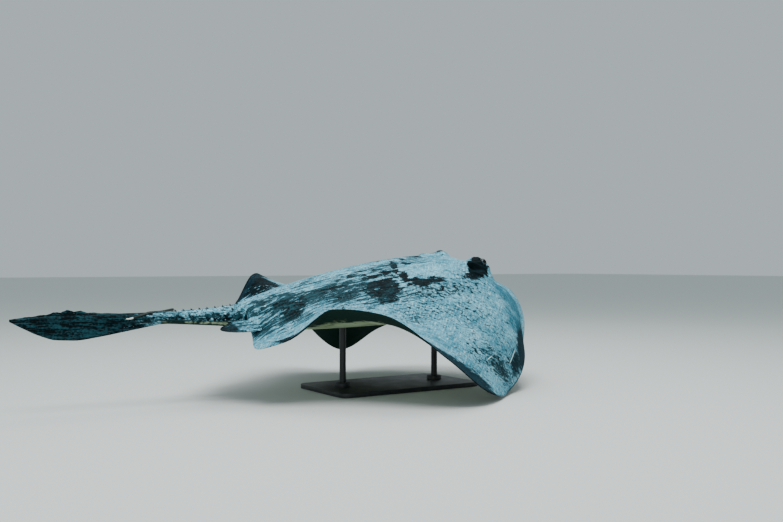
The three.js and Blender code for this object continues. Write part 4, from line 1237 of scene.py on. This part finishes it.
def sting_point(part, turn, tooth):
    """A point of the sting at a part of its length and a turn round its section."""
    distance = STING_FROM + STING_LENGTH * part
    angle = math.radians(90 + (STING_TIP_SIDE - 90) * float(smooth(0.3, 1, part)))
    half = (STING_THICK[0] + (STING_THICK[1] - STING_THICK[0]) * float(smooth(0, 0.3, part))) / 2
    plain = STING_HALF_WIDTH * (1 - STING_NARROWING * part**STING_NARROWING_POWER)
    outward = np.array([math.cos(angle), math.sin(angle)])
    along = np.array([-math.sin(angle), math.cos(angle)])
    lift = 0.35 + half + STING_LIFT + plain**2 / STING_HOLLOW
    skin = np.array([float(tail_half_width(distance)), float(tail_top(distance))])
    middle = outward * (skin + lift)
    closing = math.sqrt(max(0.0, 1 - max(0.0, (part - 0.97) / 0.03) ** 2)) * 0.96 + 0.04
    w = math.cos(turn) * (plain + tooth * abs(math.cos(turn)) ** 3) * closing
    t = math.copysign(abs(math.sin(turn)) ** 0.8, math.sin(turn)) * half * closing
    at = middle + along * w + outward * t
    return tail_point(distance, -at[0], at[1])


class RAY_OT_sting(bpy.types.Operator):
    """Draws out the sting from a ring, length by length, with a row of teeth down each edge"""

    bl_idname = "ray.sting"
    bl_label = "Sting"

    def execute(self, context):
        settings = context.scene.ray_sting
        rings = settings.teeth * RINGS_A_TOOTH
        fresh()
        bpy.ops.mesh.primitive_circle_add(vertices=STING_SIDES, radius=1, fill_type="NGON")
        piece = named("sting_blade")
        bpy.ops.object.mode_set(mode="EDIT")
        bpy.ops.mesh.select_all(action="SELECT")
        for _ in range(rings):
            bpy.ops.mesh.extrude_region_move(TRANSFORM_OT_translate={"value": (0, 0, 1)})
        facing_out()
        root, places = [], []
        for vertex in piece.data.vertices:
            part = round(vertex.co.z) / rings
            into = (part * settings.teeth) % 1  # how far into a tooth, from its point to its heel
            tooth = TOOTH * (1 - part) ** 0.5 * (1 - into) * float(smooth(0.06, 0.14, part)) * (part < 0.97)
            places.append(sting_point(part, math.atan2(vertex.co.y, vertex.co.x), tooth))
            root.append(1.3 * (1 - float(smooth(*BARE_POINT, part))))
        for vertex, place in zip(piece.data.vertices, posed(places)):
            vertex.co = place
        piece.data.attributes.new("root", "FLOAT", "POINT").data.foreach_set("value", root)
        facing_out()
        material = grown_dentine("sting_dentine", settings.bone, settings.sheath)
        done(piece, material, ["sting"], 30)
        return {"FINISHED"}


TAIL_THORNS = (14, 215, 9)  # from, to and how many, in millimetres from the tail's root
THORN = (4.6, 7.0)  # radius and height of the largest
BACK_THORNS = (-536, -300, 12)  # x of the last and the first along the spine, and how many
BACK_SIZES = (0.62, 0.42)  # the last and the first, beside the largest thorn
BUTTONS = 70  # small buttons scattered beside the row
BUTTON_PLACES, BUTTON_LEAN, BUTTON_SIZES = (4, 205), 52, (0.2, 0.42)
THORN_RISE = 0.28  # how far above the skin its middle stands, beside its own height


def thorn_places():
    """Where each thorn stands and how large it is beside the largest: point, up, size."""
    places = []
    start, end, count = TAIL_THORNS
    for distance in np.linspace(start, end, count):
        point, _, up = tail_frame(distance)
        places.append((point + up * float(tail_top(distance)), up, 1.0))
    first, last, many = BACK_THORNS
    largest, least = BACK_SIZES
    spokes_end = SPINE_MIDDLE - SPINE_HALF
    upright = np.array([0.0, 0.0, 1.0])
    for x in np.linspace(first, last, many):
        reach = max(0.0, (spokes_end - x) / (spokes_end - TAIL_ROOT_X))
        point = disc([180.0], [reach], 1)[0][0, 0]
        higher = 0 if reach > 0 else float(crown(x) - crown(spokes_end))
        part = (x - first) / (last - first)
        places.append((np.array([x, 0.0, point[2] + higher]), upright, largest + (least - largest) * part))
    chance = random.Random(7)
    for _ in range(BUTTONS):
        distance = chance.uniform(*BUTTON_PLACES)
        point, left, up = tail_frame(distance)
        lean = math.radians(chance.uniform(-BUTTON_LEAN, BUTTON_LEAN))
        across = math.sin(lean) * float(tail_half_width(distance))
        high = math.cos(lean) * float(tail_top(distance))
        way = up * math.cos(lean) + left * math.sin(lean)
        places.append((point + left * across + up * high, way, chance.uniform(*BUTTON_SIZES)))
    return places


class RAY_OT_thorns(bpy.types.Operator):
    """Models one thorn and sets its copies along the tail and the spine"""

    bl_idname = "ray.thorns"
    bl_label = "Thorns"

    def execute(self, context):
        settings = context.scene.ray_sting
        radius, height = (value * MM for value in THORN)
        fresh()
        bpy.ops.mesh.primitive_cone_add(vertices=10, radius1=radius, radius2=radius * 0.12, depth=height)
        thorn = named("tail_thorns")
        pick(thorn, "edges", lambda e: abs(e.verts[0].co.z - e.verts[1].co.z) > height / 2)
        bpy.ops.mesh.subdivide(number_cuts=3)
        bpy.ops.object.mode_set(mode="OBJECT")
        for vertex in thorn.data.vertices:
            # a broad foot, a hollow side and a point that leans back
            up = vertex.co.z / height + 0.5
            vertex.co.xy *= 1.25 - 0.55 * up if up < 0.4 else 1.0
            vertex.co.x -= radius * 0.7 * up**2
        flesh = [(v.co.copy(), v.co.z / height + 0.5) for v in thorn.data.vertices]
        faces = [tuple(p.vertices) for p in thorn.data.polygons]
        points, groups, root = [], [], []
        for place, up, scale in thorn_places():
            point = Vector(posed([place])[0])
            way = (POSE.to_3x3() @ Vector(up)).normalized()
            side = way.cross(Vector((1, 0, 0))).normalized()
            turn = Matrix((side.cross(way), side, way)).transposed()
            base = len(points)
            for co, high in flesh:
                points.append(point + turn @ (co * scale + Vector((0, 0, height * scale * THORN_RISE))))
                root.append(1.0 - high)
            groups += [tuple(base + k for k in face) for face in faces]
        mesh = bpy.data.meshes.new("tail_thorns")
        mesh.from_pydata([p[:] for p in points], [], groups)
        mesh.attributes.new("root", "FLOAT", "POINT").data.foreach_set("value", root)
        thorn.data = mesh
        fresh()
        done(thorn, grown_dentine("thorn_enamel", settings.thorn, settings.sheath), [], 50)
        return {"FINISHED"}


ROD_HIDDEN = 4  # how much further each rod runs up into the skin, in millimetres


class RAY_OT_stand(bpy.types.Operator):
    """Models the base plate and the two rods with their collars"""

    bl_idname = "ray.stand"
    bl_label = "Stand"

    def execute(self, context):
        settings = context.scene.ray_stand
        material = powder_coat(settings)
        near = 0.01 * MM
        low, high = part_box("stand_base")
        fresh()
        bpy.ops.mesh.primitive_cube_add(size=1, location=(low + high) / 2, scale=high - low)
        plate = named("stand_plate")
        pick(plate, "edges", lambda e: abs(e.verts[0].co.z - e.verts[1].co.z) > near)
        bpy.ops.mesh.bevel(offset=settings.corner, segments=14, affect="EDGES")
        for level, offset in ((high.z, 2.2 * MM), (low.z, 1.0 * MM)):
            pick(plate, "edges", lambda e: all(abs(v.co.z - level) < near for v in e.verts))
            bpy.ops.mesh.bevel(offset=offset, segments=3, affect="EDGES")
        done(plate, material, ["stand_base"])
        for end in ("front", "rear"):
            foot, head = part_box(f"stand_collar_{end}")
            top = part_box(f"stand_rod_{end}")[1].z
            middle = (foot + head) / 2
            fresh()
            bpy.ops.mesh.primitive_cylinder_add(
                vertices=48, radius=settings.collar, depth=head.z - foot.z, location=middle
            )
            post = named(f"stand_post_{end}")
            pick(post, "edges", lambda e: all(abs(v.co.z - head.z) < near for v in e.verts))
            bpy.ops.mesh.bevel(offset=3 * MM, segments=3, affect="EDGES")
            pick(post, "faces", lambda f: f.normal.z > 0.99)
            # a fine joint line round the rod, then the rod itself, up into the body
            bpy.ops.mesh.inset(thickness=settings.collar - 3 * MM - settings.rod - 0.8 * MM, depth=0)
            bpy.ops.mesh.inset(thickness=0.8 * MM, depth=-0.8 * MM)
            rise = top - head.z + ROD_HIDDEN * MM
            bpy.ops.mesh.extrude_region_move(TRANSFORM_OT_translate={"value": (0, 0, rise)})
            done(post, material, [f"stand_rod_{end}", f"stand_collar_{end}"])
        return {"FINISHED"}


# ---------------------------------------------------------------- the stage

CAMERA_PLACE = (-1.7135, -2.6354, 0.425)
CAMERA_TURN = 33.133  # degrees from +Y towards +X
CAMERA_TILT = 0.255  # degrees up
# Soft lamps: name, place, aim, size across and power
LAMPS = (
    ("key", (-0.9, -1.4, 3.6), (0, 0, 0.3), 2.0, 130),
    ("fill", (-2.8, -2.6, 0.9), (0, 0, 0.3), 1.6, 12),
    ("top", (0.6, 0.9, 3.6), (0, 0, 0.3), 2.4, 60),
)


class RAY_OT_stage(bpy.types.Operator):
    """Adds the plain floor, the soft studio lamps and the camera"""

    bl_idname = "ray.stage"
    bl_label = "Stage"

    def execute(self, context):
        settings = context.scene.ray_stage
        fresh()
        bpy.ops.mesh.primitive_plane_add(size=60, location=(0, 0, 0))
        floor = named("floor")
        floor.data.materials.append(matt_floor(settings))
        world = bpy.data.worlds.new("studio_air")
        world.use_nodes = True
        world.node_tree.nodes.clear()
        air = node(world.node_tree, "Background", {"Color": settings.air, "Strength": settings.air_strength})
        node(world.node_tree, "OutputWorld", {"Surface": air})
        context.scene.world = world
        for name, place, target, across, power in LAMPS:
            fresh()
            aim = (Vector(target) - Vector(place)).to_track_quat("-Z", "Y").to_euler()
            bpy.ops.object.light_add(type="AREA", location=place, rotation=aim)
            lamp = bpy.context.object
            lamp.name = name
            lamp.data.size, lamp.data.energy = across, power * settings.lamps
        tilt, turn = math.radians(90 + CAMERA_TILT), math.radians(-CAMERA_TURN)
        bpy.ops.object.camera_add(location=CAMERA_PLACE, rotation=(tilt, 0, turn))
        camera = bpy.context.object
        camera.data.lens, camera.data.sensor_width = settings.lens, 36
        context.scene.camera = camera
        fresh()
        return {"FINISHED"}


# ---------------------------------------------------------------- the add-on

STEPS = (RAY_OT_skin, RAY_OT_eyes, RAY_OT_sting, RAY_OT_thorns, RAY_OT_stand, RAY_OT_stage)
SETTINGS = {
    "ray_skin_colours": RaySkinColours,
    "ray_eye": RayEye,
    "ray_sting": RaySting,
    "ray_stand": RayStand,
    "ray_stage": RayStage,
}


class RAY_PT_panel(bpy.types.Panel):
    """Lists the ray's pieces and their settings"""

    bl_idname = "RAY_PT_panel"
    bl_label = "Fantail ray"
    bl_space_type = "VIEW_3D"
    bl_region_type = "UI"
    bl_category = "Ray"

    def draw(self, context):
        for step in STEPS:
            self.layout.operator(step.bl_idname)
        for name, group in SETTINGS.items():
            box = self.layout.box()
            box.label(text=group.__doc__)
            for setting in group.__annotations__:
                box.prop(getattr(context.scene, name), setting)


def register():
    for group in SETTINGS.values():
        bpy.utils.register_class(group)
    for step in (*STEPS, RAY_PT_panel):
        bpy.utils.register_class(step)
    for name, group in SETTINGS.items():
        setattr(bpy.types.Scene, name, bpy.props.PointerProperty(type=group))


def unregister():
    for name in SETTINGS:
        delattr(bpy.types.Scene, name)
    for one in (RAY_PT_panel, *reversed(STEPS), *reversed(SETTINGS.values())):
        bpy.utils.unregister_class(one)


def main():
    register()
    bpy.ops.ray.skin()
    bpy.ops.ray.eyes()
    bpy.ops.ray.sting()
    bpy.ops.ray.thorns()
    bpy.ops.ray.stand()
    bpy.ops.ray.stage()


if __name__ == "__main__":
    main()
